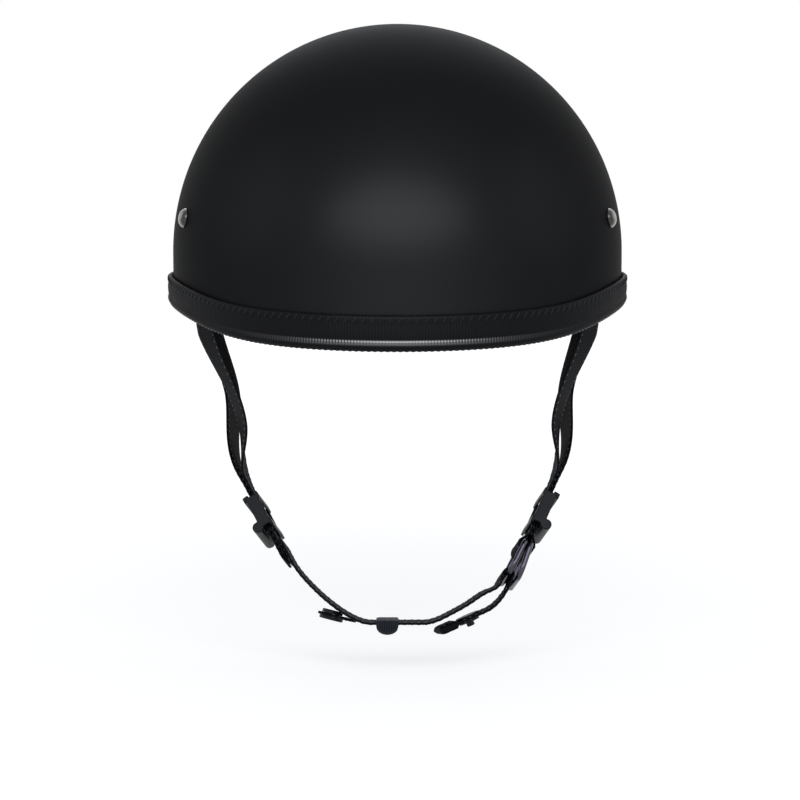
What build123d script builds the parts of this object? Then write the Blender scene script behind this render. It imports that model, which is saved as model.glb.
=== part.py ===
from build123d import *
import os
from math import cos, radians, sin, sqrt

os.makedirs("parts", exist_ok=True)

# Half shell motorcycle helmet, as worn, with its double ring harness closed.
# The front faces -Y, the wearer's left is +X and up is +Z.
# Zero is the middle of the head opening, level with the trim's lowest point in front.

# Shell, a half ellipsoid on an upright skirt
shell_width = 230.0
shell_length = 276.0
crown_height = 154.0
equator_height = 38.0
shell_wall = 3.5

# Rim line seen from the side: along the length, share of the rise, share of the drop
rim_rise = 11.8
rim_drop = 12.0
rim_shares = [
    (-1.10, 0.00, 0.00),
    (-0.76, 0.22, 0.00),
    (-0.50, 0.66, 0.00),
    (0.00, 1.00, 0.00),
    (0.50, 0.36, 0.00),
    (0.80, 0.00, 0.45),
    (1.10, 0.00, 1.10),
]

# Space left between layers, between moving pieces and between sewn layers
layer_gap = 0.3
running_gap = 0.4
sewn_gap = 0.2

# Edge trim, a U section over the shell's edge
trim_stand = 2.5
trim_leg = 2.0
trim_height = 17.5
trim_inner_height = 10.0
trim_round = 2.2

# Moulded foam liner
liner_wall = 25.0
liner_lift = 13.0
channel_play = 1.0
channel_thick = 11.0
pocket_play = 2.0

# Comfort padding inside the liner
pad_thick = 7.0
pad_round = 2.8
band_lift = 10.0
band_height = 30.0
band_half_angle = 48.0
side_pad_half_angle = 30.0
side_pad_height = 44.0
crown_pad_height = 84.0

# Rivets and washers that hold the webbing on the shell
rivet_height = 58.0
front_rivet_along = -48.0
rear_rivet_along = 50.0
rivet_head_diameter = 9.8
rivet_head_rise = 2.6
rivet_shank_diameter = 4.8
rivet_tail_diameter = 7.5
rivet_tail_rise = 1.2
rivet_seat = 0.3
washer_diameter = 13.0
washer_thick = 0.8
washer_play = 0.15
washer_seat = 0.7

# Webbing
webbing_width = 24.0
webbing_thick = 1.4
webbing_end = 8.0
webbing_sag = 0.6
webbing_step = 9.0
exit_drop = 12.0
front_exit_along = -50.0
rear_exit_along = 40.0
exit_inset = 4.0
exit_turn = 26.0
knee_turn = 15.0
front_knee_shares = (0.50, 0.50, 0.52)
front_knee_inset = 5.0
rear_knee_shares = (0.50, 0.52, 0.50)
rear_knee_inset = -1.5
lead = 7.0
lead_spread = 0.3

# Line of sight along which the harness lies edge-on
sight_fall = 7.0

# Doubled webbing runs that carry the sliders, for the wearer's right and left
run_above = 16.0
right_slider_place = (-67.0, -42.0, -94.2)
right_run_share = (0.45, -0.45, -0.77)
right_run_below = 17.0
left_slider_place = (71.6, -42.0, -92.2)
left_run_share = (-0.40, -0.42, -0.81)
left_run_below = 14.0
sewn_overlap = 9.0

# Moulded sliders
slider_length = 20.0
slider_plate = 1.8
slider_bar = 4.0
slider_bar_thick = 1.4
slider_side = 2.6
slider_corner = 1.5
slider_roll_diameter = 5.5
slider_roll_inset = 2.0
slider_lip = 1.4
slider_lip_length = 3.0

# Rings, bent from round wire
ring_wire = 2.8
ring_half_width = 16.0
ring_depth = 18.0
ring_near_corner = 3.2
ring_far_corner = 6.0
ring_pair_gap = 0.2
ring_bar_offset = 6.5

# Chin strap, as worn: places in shares of its depth below the rim and its reach forward
chin_depth = 142.5
chin_reach = 70.0
chin_flat_half = 13.0
chin_right_shares = [
    (-0.300, -0.870, -0.880),
    (-0.220, -0.940, -0.945),
    (-0.150, -0.985, -0.985),
]
chin_left_shares = [
    (0.178, -0.985, -0.972),
    (0.250, -0.940, -0.935),
    (0.310, -0.890, -0.893),
]

# The strap's fold over the inner ring, and its free tail
fold_play = 0.45
fold_lead = 3.5
tail_gap = 0.5
tail_shares = [
    (0.362, -0.875, -0.925),
    (0.262, -0.930, -0.985),
]
tail_end_share = (0.140, -0.985, -1.035)
tail_end_length = 9.0
tail_flat_length = 26.0
tail_end_thick = 4.2

# Keeper band round the chin strap
keeper_middle = -5.0
keeper_length = 11.0
keeper_skin = 1.0
keeper_bulge = 4.0

# Snap tab, a webbing flap sewn under the chin strap
tab_width = 19.0
tab_reach = 18.0
tab_turn = 17.0

# Press stud halves: a cap and socket on the tab, a stud and post on the tail
stud_diameter = 12.0
cap_rise = 1.6
socket_diameter = 10.5
socket_rise = 1.8
socket_bore = 4.4
stud_base_rise = 1.2
stud_knob_diameter = 4.0
stud_knob_rise = 2.2
post_rise = 0.8
stud_shank_diameter = 3.0
stud_seat = 0.1
stud_round = 0.6
tab_stud_inset = 7.0
tail_stud_inset = 17.0


def dome(grow):
    """The shell's outer form, grown outward by a distance and closed below the rim."""
    across = shell_width / 2 + grow
    along = shell_length / 2 + grow
    rise = crown_height - equator_height + grow
    floor = -rim_drop - trim_height
    with BuildPart(mode=Mode.PRIVATE) as form:
        with BuildSketch(Plane.XZ):
            with BuildLine():
                Line((0, floor), (across, floor))
                Line((across, floor), (across, equator_height))
                EllipticalCenterArc((0, equator_height), across, rise, start_angle=0, arc_size=90)
                Line((0, equator_height + rise), (0, floor))
            make_face()
        revolve(axis=Axis.Z)
        scale(by=(1, along / across, 1))
    return form.part


def rim_line(lift):
    """The points of the rim line, raised by a height."""
    points = []
    for along, rise, drop in rim_shares:
        height = rise * rim_rise - drop * rim_drop + lift
        points.append((along * shell_length / 2, height))
    return points


def rim_band(low, high):
    """All that lies between two heights above the rim line."""
    with BuildPart(mode=Mode.PRIVATE) as band:
        with BuildSketch(Plane.YZ):
            with BuildLine():
                lower = Spline(*rim_line(low))
                upper = Spline(*rim_line(high))
                Line(lower @ 0, upper @ 0)
                Line(lower @ 1, upper @ 1)
            make_face()
        extrude(amount=shell_width, both=True)
    return band.part


def dome_point(side, along, height, grow):
    """The point of the grown shell form at a place along the helmet and a height."""
    rise = crown_height - equator_height + grow
    lift = max(height - equator_height, 0) / rise
    narrowing = sqrt(1 - lift**2)
    half_width = (shell_width / 2 + grow) * narrowing
    half_length = (shell_length / 2 + grow) * narrowing
    return Vector(side * half_width * sqrt(1 - (along / half_length) ** 2), along, height)


def dome_normal(side, along, height):
    """The shell's outward direction at a place along the helmet and a height."""
    point = dome_point(side, along, height, 0)
    upward = max(height - equator_height, 0) / (crown_height - equator_height) ** 2
    return Vector(
        point.X / (shell_width / 2) ** 2,
        point.Y / (shell_length / 2) ** 2,
        upward,
    ).normalized()


def level_across(side, along):
    """The level direction along the shell's skirt, pointing to the rear."""
    outward = dome_normal(side, along, 0)
    return Vector(-outward.Y * side, outward.X * side, 0).normalized()


sight = Vector(0, cos(radians(sight_fall)), -sin(radians(sight_fall)))


class Run:
    """A straight stretch of webbing with its directions: heading, across and outward."""

    def __init__(self, side, middle, heading_share):
        self.side = side
        self.middle = Vector(*middle)
        self.heading = Vector(*heading_share).normalized()
        self.across = (sight - self.heading * sight.dot(self.heading)).normalized()
        outward = self.heading.cross(self.across)
        self.outward = outward if outward.X * side > 0 else outward * -1

    def place(self, down, out=0):
        """A point so far down the run from its middle, and so far outward."""
        return self.middle + self.heading * down + self.outward * out

    def section(self, down, out=0):
        """The plane square to the run, with its X along the webbing's width."""
        return Plane(origin=self.place(down, out), x_dir=self.across, z_dir=self.heading)

    def face(self, down, out=0):
        """The plane of the webbing's face, with Y up the run and Z outward."""
        up = self.heading * -1
        return Plane(
            origin=self.place(down, out),
            x_dir=up.cross(self.outward),
            z_dir=self.outward,
        )

    def profile(self):
        """The plane through the run's middle with X down the run and Y outward."""
        return Plane(
            origin=self.middle,
            x_dir=self.heading,
            z_dir=self.heading.cross(self.outward),
        )


right_run = Run(-1, right_slider_place, right_run_share)
left_run = Run(1, left_slider_place, left_run_share)

# The doubled webbing lies in two layers, the front leg inside and the rear leg outside
layer_offset = (webbing_thick + sewn_gap) / 2
# Flat webbing stands off the round shell by its sag
shell_layer = -(shell_wall + layer_gap + webbing_sag + webbing_thick / 2)
trim_layer = shell_layer - trim_leg - layer_gap


def leg_route(run, rivet_along, exit_along, knee_shares, knee_inset, layer):
    """Stations of one leg, from above its rivet to the top of the doubled run."""
    side = run.side
    exit_point = dome_point(side, exit_along, -exit_drop + rim_rise, trim_layer - exit_inset)
    end = run.place(-run_above, layer)
    span = end - exit_point
    knee = exit_point + Vector(
        span.X * knee_shares[0] - side * knee_inset,
        span.Y * knee_shares[1],
        span.Z * knee_shares[2],
    )
    skirt = rim_rise + trim_inner_height
    upper = [
        (rivet_height + webbing_end, shell_layer),
        (rivet_height, shell_layer),
        ((rivet_height + skirt) / 2, shell_layer - webbing_thick / 2),
        (skirt + webbing_thick, trim_layer),
        (rim_rise, trim_layer - webbing_thick),
    ]
    stations = []
    for height, grow in upper:
        share = (rivet_height + webbing_end - height) / (rivet_height + webbing_end)
        along = rivet_along + (exit_along - rivet_along) * share
        stations.append((dome_point(side, along, height, grow), level_across(side, along)))
    turn = exit_turn if exit_along < 0 else -exit_turn / 2
    stations.append((exit_point, turned(side, turn)))
    turn = knee_turn if exit_along < 0 else -knee_turn / 2
    stations.append((knee, turned(side, turn)))
    lead_out = lead_spread if layer > 0 else -lead_spread
    stations.append((run.place(-run_above - lead, layer + lead_out), run.across))
    stations.append((end, run.across))
    return stations


def turned(side, angle):
    """A direction to the rear, turned outward by an angle."""
    return Vector(side * sin(radians(angle)), cos(radians(angle)), 0)


def lay_webbing(stations, width, thick, headings=(None, None), mode=Mode.ADD):
    """Loft flat webbing along a smooth line through stations of a place and a direction across."""
    places = [place for place, across in stations]
    first = headings[0] or places[1] - places[0]
    last = headings[1] or places[-1] - places[-2]
    line = Edge.make_spline(places, tangents=[first, last])
    knots = [line.param_at_point(place) for place in places]
    steps = max(round(line.length / webbing_step), len(stations))
    sections = []
    for step in range(steps + 1):
        at = step / steps
        after = 1
        while after < len(knots) - 1 and knots[after] < at:
            after += 1
        share = (at - knots[after - 1]) / (knots[after] - knots[after - 1])
        share = min(max(share, 0), 1)
        across = stations[after - 1][1] * (1 - share) + stations[after][1] * share
        heading = line.tangent_at(at)
        across = (across - heading * across.dot(heading)).normalized()
        plane = Plane(origin=line.position_at(at), x_dir=across, z_dir=heading)
        with BuildSketch(plane) as section:
            Rectangle(width, thick)
        sections.append(section.sketch)
    loft(sections, ruled=True, mode=mode)


right_front_route = leg_route(
    right_run, front_rivet_along, front_exit_along, front_knee_shares, front_knee_inset,
    -layer_offset,
)
right_rear_route = leg_route(
    right_run, rear_rivet_along, rear_exit_along, rear_knee_shares, rear_knee_inset,
    layer_offset,
)
left_front_route = leg_route(
    left_run, front_rivet_along, front_exit_along, front_knee_shares, front_knee_inset,
    -layer_offset,
)
left_rear_route = leg_route(
    left_run, rear_rivet_along, rear_exit_along, rear_knee_shares, rear_knee_inset,
    layer_offset,
)

# Rivet planes: on the shell's outside, with Z pointing out
rivet_planes = []
for side in (-1, 1):
    for along in (front_rivet_along, rear_rivet_along):
        rivet_planes.append(
            Plane(
                origin=dome_point(side, along, rivet_height, 0),
                x_dir=level_across(side, along),
                z_dir=dome_normal(side, along, rivet_height),
            )
        )

shell_form = dome(0)
shell_hollow = dome(-shell_wall)
below_shell = rim_band(-crown_height, trim_leg + layer_gap)

# Shell
with BuildPart() as shell:
    add(shell_form)
    add(shell_hollow, mode=Mode.SUBTRACT)
    add(below_shell, mode=Mode.SUBTRACT)
    for plane in rivet_planes:
        with Locations(plane):
            Cylinder(
                rivet_shank_diameter / 2 + washer_play,
                webbing_end * 2,
                mode=Mode.SUBTRACT,
            )
shell.part.label = "shell"
export_step(shell.part, "parts/shell.step")

trim_form = dome(trim_stand)
trim_hollow = dome(-shell_wall - layer_gap - trim_leg)
slot_form = dome(layer_gap)
slot_hollow = dome(-shell_wall - layer_gap)
trim_band = rim_band(0, trim_height)
slot_band = rim_band(trim_leg, crown_height)
above_inner_leg = rim_band(trim_inner_height, crown_height)

with BuildPart(mode=Mode.PRIVATE) as shell_slot:
    add(slot_form)
    add(slot_hollow, mode=Mode.SUBTRACT)
    add(slot_band, mode=Mode.INTERSECT)

with BuildPart(mode=Mode.PRIVATE) as inner_space:
    add(slot_form)
    add(above_inner_leg, mode=Mode.INTERSECT)

# Edge trim
with BuildPart() as edge_trim:
    add(trim_form)
    add(trim_hollow, mode=Mode.SUBTRACT)
    add(trim_band, mode=Mode.INTERSECT)
    add(shell_slot.part, mode=Mode.SUBTRACT)
    add(inner_space.part, mode=Mode.SUBTRACT)
    underside = edge_trim.faces().filter_by(lambda face: face.normal_at().Z < -0.5)
    rim_edges = underside.edges().filter_by(lambda edge: edge.length > 2 * trim_height)
    fillet(rim_edges, trim_round)
edge_trim.part.label = "edge_trim"
export_step(edge_trim.part, "parts/edge_trim.step")

# The harness's layers along a rivet's axis, counted inward from the shell's outside
webbing_inside = shell_wall + layer_gap + webbing_sag + webbing_thick
washer_outside = webbing_inside + washer_seat
tail_outside = washer_outside + washer_thick + washer_play

liner_form = dome(-shell_wall - layer_gap)
liner_hollow = dome(-shell_wall - layer_gap - liner_wall)
below_liner = rim_band(-crown_height, liner_lift)

# Impact liner, with channels for the webbing and pockets for the rivets
with BuildPart() as impact_liner:
    add(liner_form)
    add(liner_hollow, mode=Mode.SUBTRACT)
    add(below_liner, mode=Mode.SUBTRACT)
    for route in (right_front_route, right_rear_route, left_front_route, left_rear_route):
        top, top_across = route[0]
        above = top + (top - route[1][0]).normalized() * channel_play
        lay_webbing(
            [(above, top_across)] + route[1:6],
            webbing_width + 2 * channel_play,
            channel_thick,
            mode=Mode.SUBTRACT,
        )
    for plane in rivet_planes:
        with Locations(plane):
            Cylinder(
                washer_diameter / 2 + pocket_play,
                2 * (tail_outside + rivet_tail_rise + pocket_play),
                mode=Mode.SUBTRACT,
            )
impact_liner.part.label = "impact_liner"
export_step(impact_liner.part, "parts/impact_liner.step")

pad_outside = -shell_wall - layer_gap - liner_wall - layer_gap
pad_form = dome(pad_outside)
pad_hollow = dome(pad_outside - pad_thick)


def pad_shell(low, high):
    """The padding's layer between two heights above the rim line."""
    zone = rim_band(low, high)
    with BuildPart(mode=Mode.PRIVATE) as layer:
        add(pad_form)
        add(pad_hollow, mode=Mode.SUBTRACT)
        add(zone, mode=Mode.INTERSECT)
    return layer.part


def sector(turn, half_angle):
    """An upright wedge about the middle, opening towards a direction in the floor plane."""
    reach = shell_length
    with BuildPart(mode=Mode.PRIVATE) as wedge:
        with BuildSketch(Plane.XY.offset(-shell_width)):
            with BuildLine():
                left_edge = PolarLine((0, 0), reach, turn + half_angle)
                right_edge = PolarLine((0, 0), reach, turn - half_angle)
                Line(left_edge @ 1, right_edge @ 1)
            make_face()
        extrude(amount=2 * shell_width)
    return wedge.part


band_layer = pad_shell(band_lift, band_lift + band_height)
side_layer = pad_shell(band_lift, band_lift + side_pad_height)

# Comfort padding round the head: brow, nape and both sides
for pad_name, layer, turn, half_angle in (
    ("brow_band", band_layer, -90, band_half_angle),
    ("nape_band", band_layer, 90, band_half_angle),
    ("left_side_pad", side_layer, 0, side_pad_half_angle),
    ("right_side_pad", side_layer, 180, side_pad_half_angle),
):
    wedge = sector(turn, half_angle)
    with BuildPart() as pad:
        add(layer)
        add(wedge, mode=Mode.INTERSECT)
        fillet(pad.edges(), pad_round)
    pad.part.label = pad_name
    export_step(pad.part, f"parts/{pad_name}.step")

# Comfort pad in the crown
with BuildPart() as crown_pad:
    add(pad_form)
    add(pad_hollow, mode=Mode.SUBTRACT)
    split(bisect_by=Plane.XY.offset(crown_pad_height), keep=Keep.TOP)
    foot = crown_pad.edges().filter_by(
        lambda edge: edge.bounding_box().max.Z < crown_pad_height + pad_round
    )
    fillet(foot, pad_round)
crown_pad.part.label = "crown_pad"
export_step(crown_pad.part, "parts/crown_pad.step")


def rivet_profile_plane(plane):
    """The plane through a rivet's axis, with X along its radius and Y outward."""
    return Plane(origin=plane.origin, x_dir=plane.x_dir, z_dir=plane.y_dir * -1)


# Rivets, one through each leg's upper end
with BuildPart() as rivets:
    for plane in rivet_planes:
        head = rivet_head_diameter / 2
        shank = rivet_shank_diameter / 2
        tail = rivet_tail_diameter / 2
        with BuildSketch(rivet_profile_plane(plane)):
            with BuildLine():
                crown = rivet_seat + rivet_head_rise
                ThreePointArc(
                    (0, crown),
                    (head * sin(radians(45)), rivet_seat + rivet_head_rise * cos(radians(45))),
                    (head, rivet_seat),
                )
                Polyline(
                    (head, rivet_seat),
                    (shank, rivet_seat),
                    (shank, -tail_outside),
                    (tail, -tail_outside),
                    (tail, -tail_outside - rivet_tail_rise),
                    (0, -tail_outside - rivet_tail_rise),
                    (0, crown),
                )
            make_face()
        revolve(axis=Axis(plane.origin, plane.z_dir))
rivets.part.label = "rivets"
export_step(rivets.part, "parts/rivets.step")

# Washers between the webbing and the rivets' tails
with BuildPart() as rivet_washers:
    for plane in rivet_planes:
        with BuildSketch(plane.offset(-washer_outside - washer_thick)):
            Circle(washer_diameter / 2)
            Circle(rivet_shank_diameter / 2 + washer_play, mode=Mode.SUBTRACT)
        extrude(amount=washer_thick)
rivet_washers.part.label = "rivet_washers"
export_step(rivet_washers.part, "parts/rivet_washers.step")


def pierce(plane):
    """Cut a rivet's hole through webbing."""
    with Locations(plane):
        Cylinder(
            rivet_shank_diameter / 2 + washer_play,
            2 * tail_outside,
            mode=Mode.SUBTRACT,
        )


# Right front leg: from its rivet to where it is sewn to the chin strap
with BuildPart() as right_front_strap:
    lay_webbing(right_front_route, webbing_width, webbing_thick, (None, right_run.heading))
    with BuildSketch(right_run.section(-run_above, -layer_offset)):
        Rectangle(webbing_width, webbing_thick)
    extrude(amount=run_above + right_run_below + sewn_overlap)
    pierce(rivet_planes[0])
right_front_strap.part.label = "right_front_strap"
export_step(right_front_strap.part, "parts/right_front_strap.step")

# Right rear leg, on the outside of the front leg in the doubled run
with BuildPart() as right_rear_strap:
    lay_webbing(right_rear_route, webbing_width, webbing_thick, (None, right_run.heading))
    with BuildSketch(right_run.section(-run_above, layer_offset)):
        Rectangle(webbing_width, webbing_thick)
    extrude(amount=run_above + right_run_below + sewn_overlap)
    pierce(rivet_planes[1])
right_rear_strap.part.label = "right_rear_strap"
export_step(right_rear_strap.part, "parts/right_rear_strap.step")

# The loop at the foot of the left webbing holds both rings' straight bars
bar_place = left_run_below + ring_bar_offset
bar_out = (ring_wire + ring_pair_gap) / 2
loop_radius = bar_out + ring_wire / 2 + layer_gap + webbing_thick / 2

# Left webbing: one piece, front leg, loop round the rings' bars and rear leg
with BuildPart() as left_strap:
    lay_webbing(left_front_route, webbing_width, webbing_thick, (None, left_run.heading))
    lay_webbing(left_rear_route, webbing_width, webbing_thick, (None, left_run.heading))
    with BuildSketch(left_run.profile()):
        with BuildLine():
            inner_run = Line((-run_above, -layer_offset), (left_run_below, -layer_offset))
            inner_swell = Spline(
                inner_run @ 1, (bar_place, -loop_radius), tangents=((1, 0), (1, 0))
            )
            loop_end = ThreePointArc(
                inner_swell @ 1, (bar_place + loop_radius, 0), (bar_place, loop_radius)
            )
            outer_swell = Spline(
                loop_end @ 1, (left_run_below, layer_offset), tangents=((-1, 0), (-1, 0))
            )
            Line(outer_swell @ 1, (-run_above, layer_offset))
        trace(line_width=webbing_thick)
    extrude(amount=webbing_width / 2, both=True)
    pierce(rivet_planes[2])
    pierce(rivet_planes[3])
left_strap.part.label = "left_strap"
export_step(left_strap.part, "parts/left_strap.step")

# Slider: a plate outside the webbing, two bars inside it, sides, a rolled foot and a lip
slot_half = layer_offset + webbing_thick / 2 + running_gap
slider_width = webbing_width + 2 * running_gap + 2 * slider_side
for slider_name, run in (("right_slider", right_run), ("left_slider", left_run)):
    with BuildPart() as slider:
        with BuildSketch(run.face(0, slot_half)):
            RectangleRounded(slider_width, slider_length, slider_corner)
        extrude(amount=slider_plate)
        with BuildSketch(run.face(0, -slot_half - slider_bar_thick)):
            with GridLocations(0, slider_length - slider_bar, 1, 2):
                RectangleRounded(slider_width, slider_bar, slider_corner)
        extrude(amount=slider_bar_thick)
        with BuildSketch(run.face(0, -slot_half - slider_bar_thick / 2)):
            with GridLocations(slider_width - slider_side, 0, 2, 1):
                Rectangle(slider_side, slider_length - 2 * slider_corner)
        extrude(amount=2 * slot_half + slider_bar_thick / 2 + slider_plate / 2)
        lip_plane = run.face(
            -slider_length / 2 + slider_lip_length / 2, slot_half + slider_plate / 2
        )
        with BuildSketch(lip_plane):
            Rectangle(slider_width - 2 * slider_corner, slider_lip_length)
        extrude(amount=slider_plate / 2 + slider_lip)
        roll_radius = slider_roll_diameter / 2
        foot = run.place(slider_length / 2 - slider_roll_inset, slot_half + roll_radius)
        with BuildSketch(Plane(origin=foot, x_dir=run.outward, z_dir=run.across)):
            Circle(roll_radius)
        extrude(amount=slider_width / 2, both=True)
    slider.part.label = slider_name
    export_step(slider.part, f"parts/{slider_name}.step")

# The rings lie fanned: room between their far bars for one layer of webbing
fold_radius = ring_wire / 2 + fold_play + webbing_thick / 2
far_gap = ring_wire + webbing_thick + 2 * fold_play
inner_far_out = -bar_out - (far_gap - 2 * bar_out) / 3
outer_far_out = inner_far_out + far_gap


def bend_ring(near_out, far_out):
    """A ring of round wire between its straight bar and its far bar."""
    near = left_run.place(bar_place, near_out)
    far = left_run.place(bar_place + ring_depth, far_out)
    down = (far - near).normalized()
    face = Plane(origin=near, x_dir=left_run.across, z_dir=left_run.across.cross(down))
    corners = [
        (-ring_half_width, 0),
        (ring_half_width, 0),
        (ring_half_width, ring_depth),
        (-ring_half_width, ring_depth),
    ]
    rounds = (ring_near_corner, ring_near_corner, ring_far_corner, ring_far_corner)
    with BuildLine(face) as bend:
        FilletPolyline(*corners, radius=rounds, close=True)
    path = bend.wires()[0]
    with BuildSketch(Plane(origin=path @ 0, z_dir=path % 0)) as wire:
        Circle(ring_wire / 2)
    sweep(wire.sketch, path=path)


# Inner ring, under the fold of the chin strap
with BuildPart() as inner_ring:
    bend_ring(-bar_out, inner_far_out)
inner_ring.part.label = "inner_ring"
export_step(inner_ring.part, "parts/inner_ring.step")

# Outer ring, which presses the strap on the inner ring and lifts to free it
with BuildPart() as outer_ring:
    bend_ring(bar_out, outer_far_out)
outer_ring.part.label = "outer_ring"
export_step(outer_ring.part, "parts/outer_ring.step")


def worn_place(shares):
    """A place on the worn strap, from its shares of the chin's depth, reach and depth."""
    return Vector(shares[0] * chin_depth, shares[1] * chin_reach, shares[2] * chin_depth)


far_place = bar_place + ring_depth
strap_layer = -layer_offset - webbing_thick - sewn_gap
sewn_end = right_run_below + sewn_overlap
flat_start = Vector(-chin_flat_half, -chin_reach, -chin_depth)
flat_end = Vector(chin_flat_half, -chin_reach, -chin_depth)
rightward = Vector(-1, 0, 0)
leftward = Vector(1, 0, 0)
flat_across = (sight - leftward * sight.dot(leftward)).normalized()
fold_in = (far_place + fold_lead, inner_far_out - fold_radius)
fold_out = (far_place + fold_lead, inner_far_out + fold_radius)

# Chin strap: sewn to the right legs, under the chin, and folded over the inner ring
with BuildPart() as chin_strap:
    with BuildSketch(right_run.section(right_run_below, strap_layer)):
        Rectangle(webbing_width, webbing_thick)
    extrude(amount=sewn_overlap)
    stations = [(right_run.place(sewn_end, strap_layer), sight)]
    stations += [(worn_place(shares), sight) for shares in chin_right_shares]
    stations += [(flat_start, sight)]
    lay_webbing(stations, webbing_width, webbing_thick, (right_run.heading, leftward))
    with BuildSketch(Plane(origin=flat_start, x_dir=flat_across, z_dir=leftward)):
        Rectangle(webbing_width, webbing_thick)
    extrude(amount=2 * chin_flat_half)
    stations = [(flat_end, sight)]
    stations += [(worn_place(shares), sight) for shares in chin_left_shares]
    stations += [(left_run.place(*fold_in), sight)]
    lay_webbing(stations, webbing_width, webbing_thick, (leftward, left_run.heading * -1))
    with BuildSketch(left_run.profile()):
        with BuildLine():
            rise = Line(fold_in, (far_place, inner_far_out - fold_radius))
            turn = ThreePointArc(
                rise @ 1,
                (far_place - fold_radius, inner_far_out),
                (far_place, inner_far_out + fold_radius),
            )
            Line(turn @ 1, fold_out)
        trace(line_width=webbing_thick)
    extrude(amount=webbing_width / 2, both=True)
chin_strap.part.label = "chin_strap"
export_step(chin_strap.part, "parts/chin_strap.step")

# Tail of the chin strap, with its end folded back and sewn, and a stud near it
tail_start = left_run.place(fold_out[0] + tail_gap, fold_out[1])
tail_end = worn_place(tail_end_share)
tail_heading = (tail_end - worn_place(tail_shares[-1])).normalized()
tail_across = (sight - tail_heading * sight.dot(tail_heading)).normalized()
tail_down = tail_heading.cross(tail_across)
tail_down = tail_down if tail_down.Z < 0 else tail_down * -1
tail_flat = tail_end - tail_heading * tail_flat_length
tail_stud_place = tail_end - tail_heading * tail_stud_inset
tail_stud_plane = Plane(origin=tail_stud_place, x_dir=tail_across, z_dir=tail_down)
with BuildPart() as strap_tail:
    stations = [(tail_start, sight)]
    stations += [(worn_place(shares), sight) for shares in tail_shares[:-1]]
    stations += [(tail_flat, sight)]
    lay_webbing(stations, webbing_width, webbing_thick, (left_run.heading, tail_heading))
    with BuildSketch(Plane(origin=tail_flat, x_dir=tail_across, z_dir=tail_heading)):
        Rectangle(webbing_width, webbing_thick)
    extrude(amount=tail_flat_length)
    with BuildSketch(Plane(origin=tail_end, x_dir=tail_across, z_dir=tail_heading)):
        Rectangle(webbing_width, tail_end_thick)
    extrude(amount=-tail_end_length)
    with Locations(tail_stud_plane):
        Cylinder(
            stud_shank_diameter / 2 + washer_play,
            2 * webbing_thick,
            mode=Mode.SUBTRACT,
        )
strap_tail.part.label = "strap_tail"
export_step(strap_tail.part, "parts/strap_tail.step")

stud_half = webbing_thick / 2 + stud_seat

# Stud, on the tail's outside: a base and a knob
with BuildPart() as snap_stud:
    with BuildSketch(tail_stud_plane.offset(stud_half)):
        Circle(socket_diameter / 2)
        Circle(stud_shank_diameter / 2 + washer_play, mode=Mode.SUBTRACT)
    extrude(amount=stud_base_rise)
    with BuildSketch(tail_stud_plane.offset(stud_half + stud_base_rise)):
        Circle(stud_knob_diameter / 2)
    extrude(amount=stud_knob_rise)
    rim = snap_stud.faces().sort_by(Axis(tail_stud_place, tail_down))[-1].edges()
    fillet(rim, stud_round)
snap_stud.part.label = "snap_stud"
export_step(snap_stud.part, "parts/snap_stud.step")

# Post, on the tail's inside, with its shank through the webbing into the stud
with BuildPart() as snap_post:
    with BuildSketch(tail_stud_plane.offset(-stud_half - post_rise)):
        Circle(stud_diameter / 2)
    extrude(amount=post_rise)
    with BuildSketch(tail_stud_plane.offset(-stud_half)):
        Circle(stud_shank_diameter / 2)
    extrude(amount=2 * stud_half + stud_base_rise / 2)
snap_post.part.label = "snap_post"
export_step(snap_post.part, "parts/snap_post.step")

# Keeper band: a ribbed elastic loop round the chin strap, with a half moon grip below
keeper_start = Vector(keeper_middle - keeper_length / 2, -chin_reach, -chin_depth)
keeper_plane = Plane(origin=keeper_start, x_dir=flat_across, z_dir=leftward)
keeper_play = webbing_thick / 2 + running_gap
with BuildPart() as keeper_band:
    with BuildSketch(keeper_plane):
        RectangleRounded(
            webbing_width + 2 * running_gap + 2 * keeper_skin,
            2 * keeper_play + 2 * keeper_skin,
            keeper_skin,
        )
        Rectangle(webbing_width + 2 * running_gap, 2 * keeper_play, mode=Mode.SUBTRACT)
    extrude(amount=keeper_length)
    moon_middle = Vector(keeper_middle, -chin_reach, -chin_depth)
    down = flat_across.cross(leftward)
    down = down if down.Z < 0 else down * -1
    moon_plane = Plane(origin=moon_middle, x_dir=leftward, z_dir=leftward.cross(down))
    with BuildSketch(moon_plane):
        with BuildLine():
            chord = keeper_play + keeper_skin / 2
            Line((-keeper_length / 2, chord), (keeper_length / 2, chord))
            ThreePointArc(
                (-keeper_length / 2, chord),
                (0, chord + keeper_bulge),
                (keeper_length / 2, chord),
            )
        make_face()
    extrude(amount=webbing_width / 2 - keeper_skin, both=True)
keeper_band.part.label = "keeper_band"
export_step(keeper_band.part, "parts/keeper_band.step")

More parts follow.
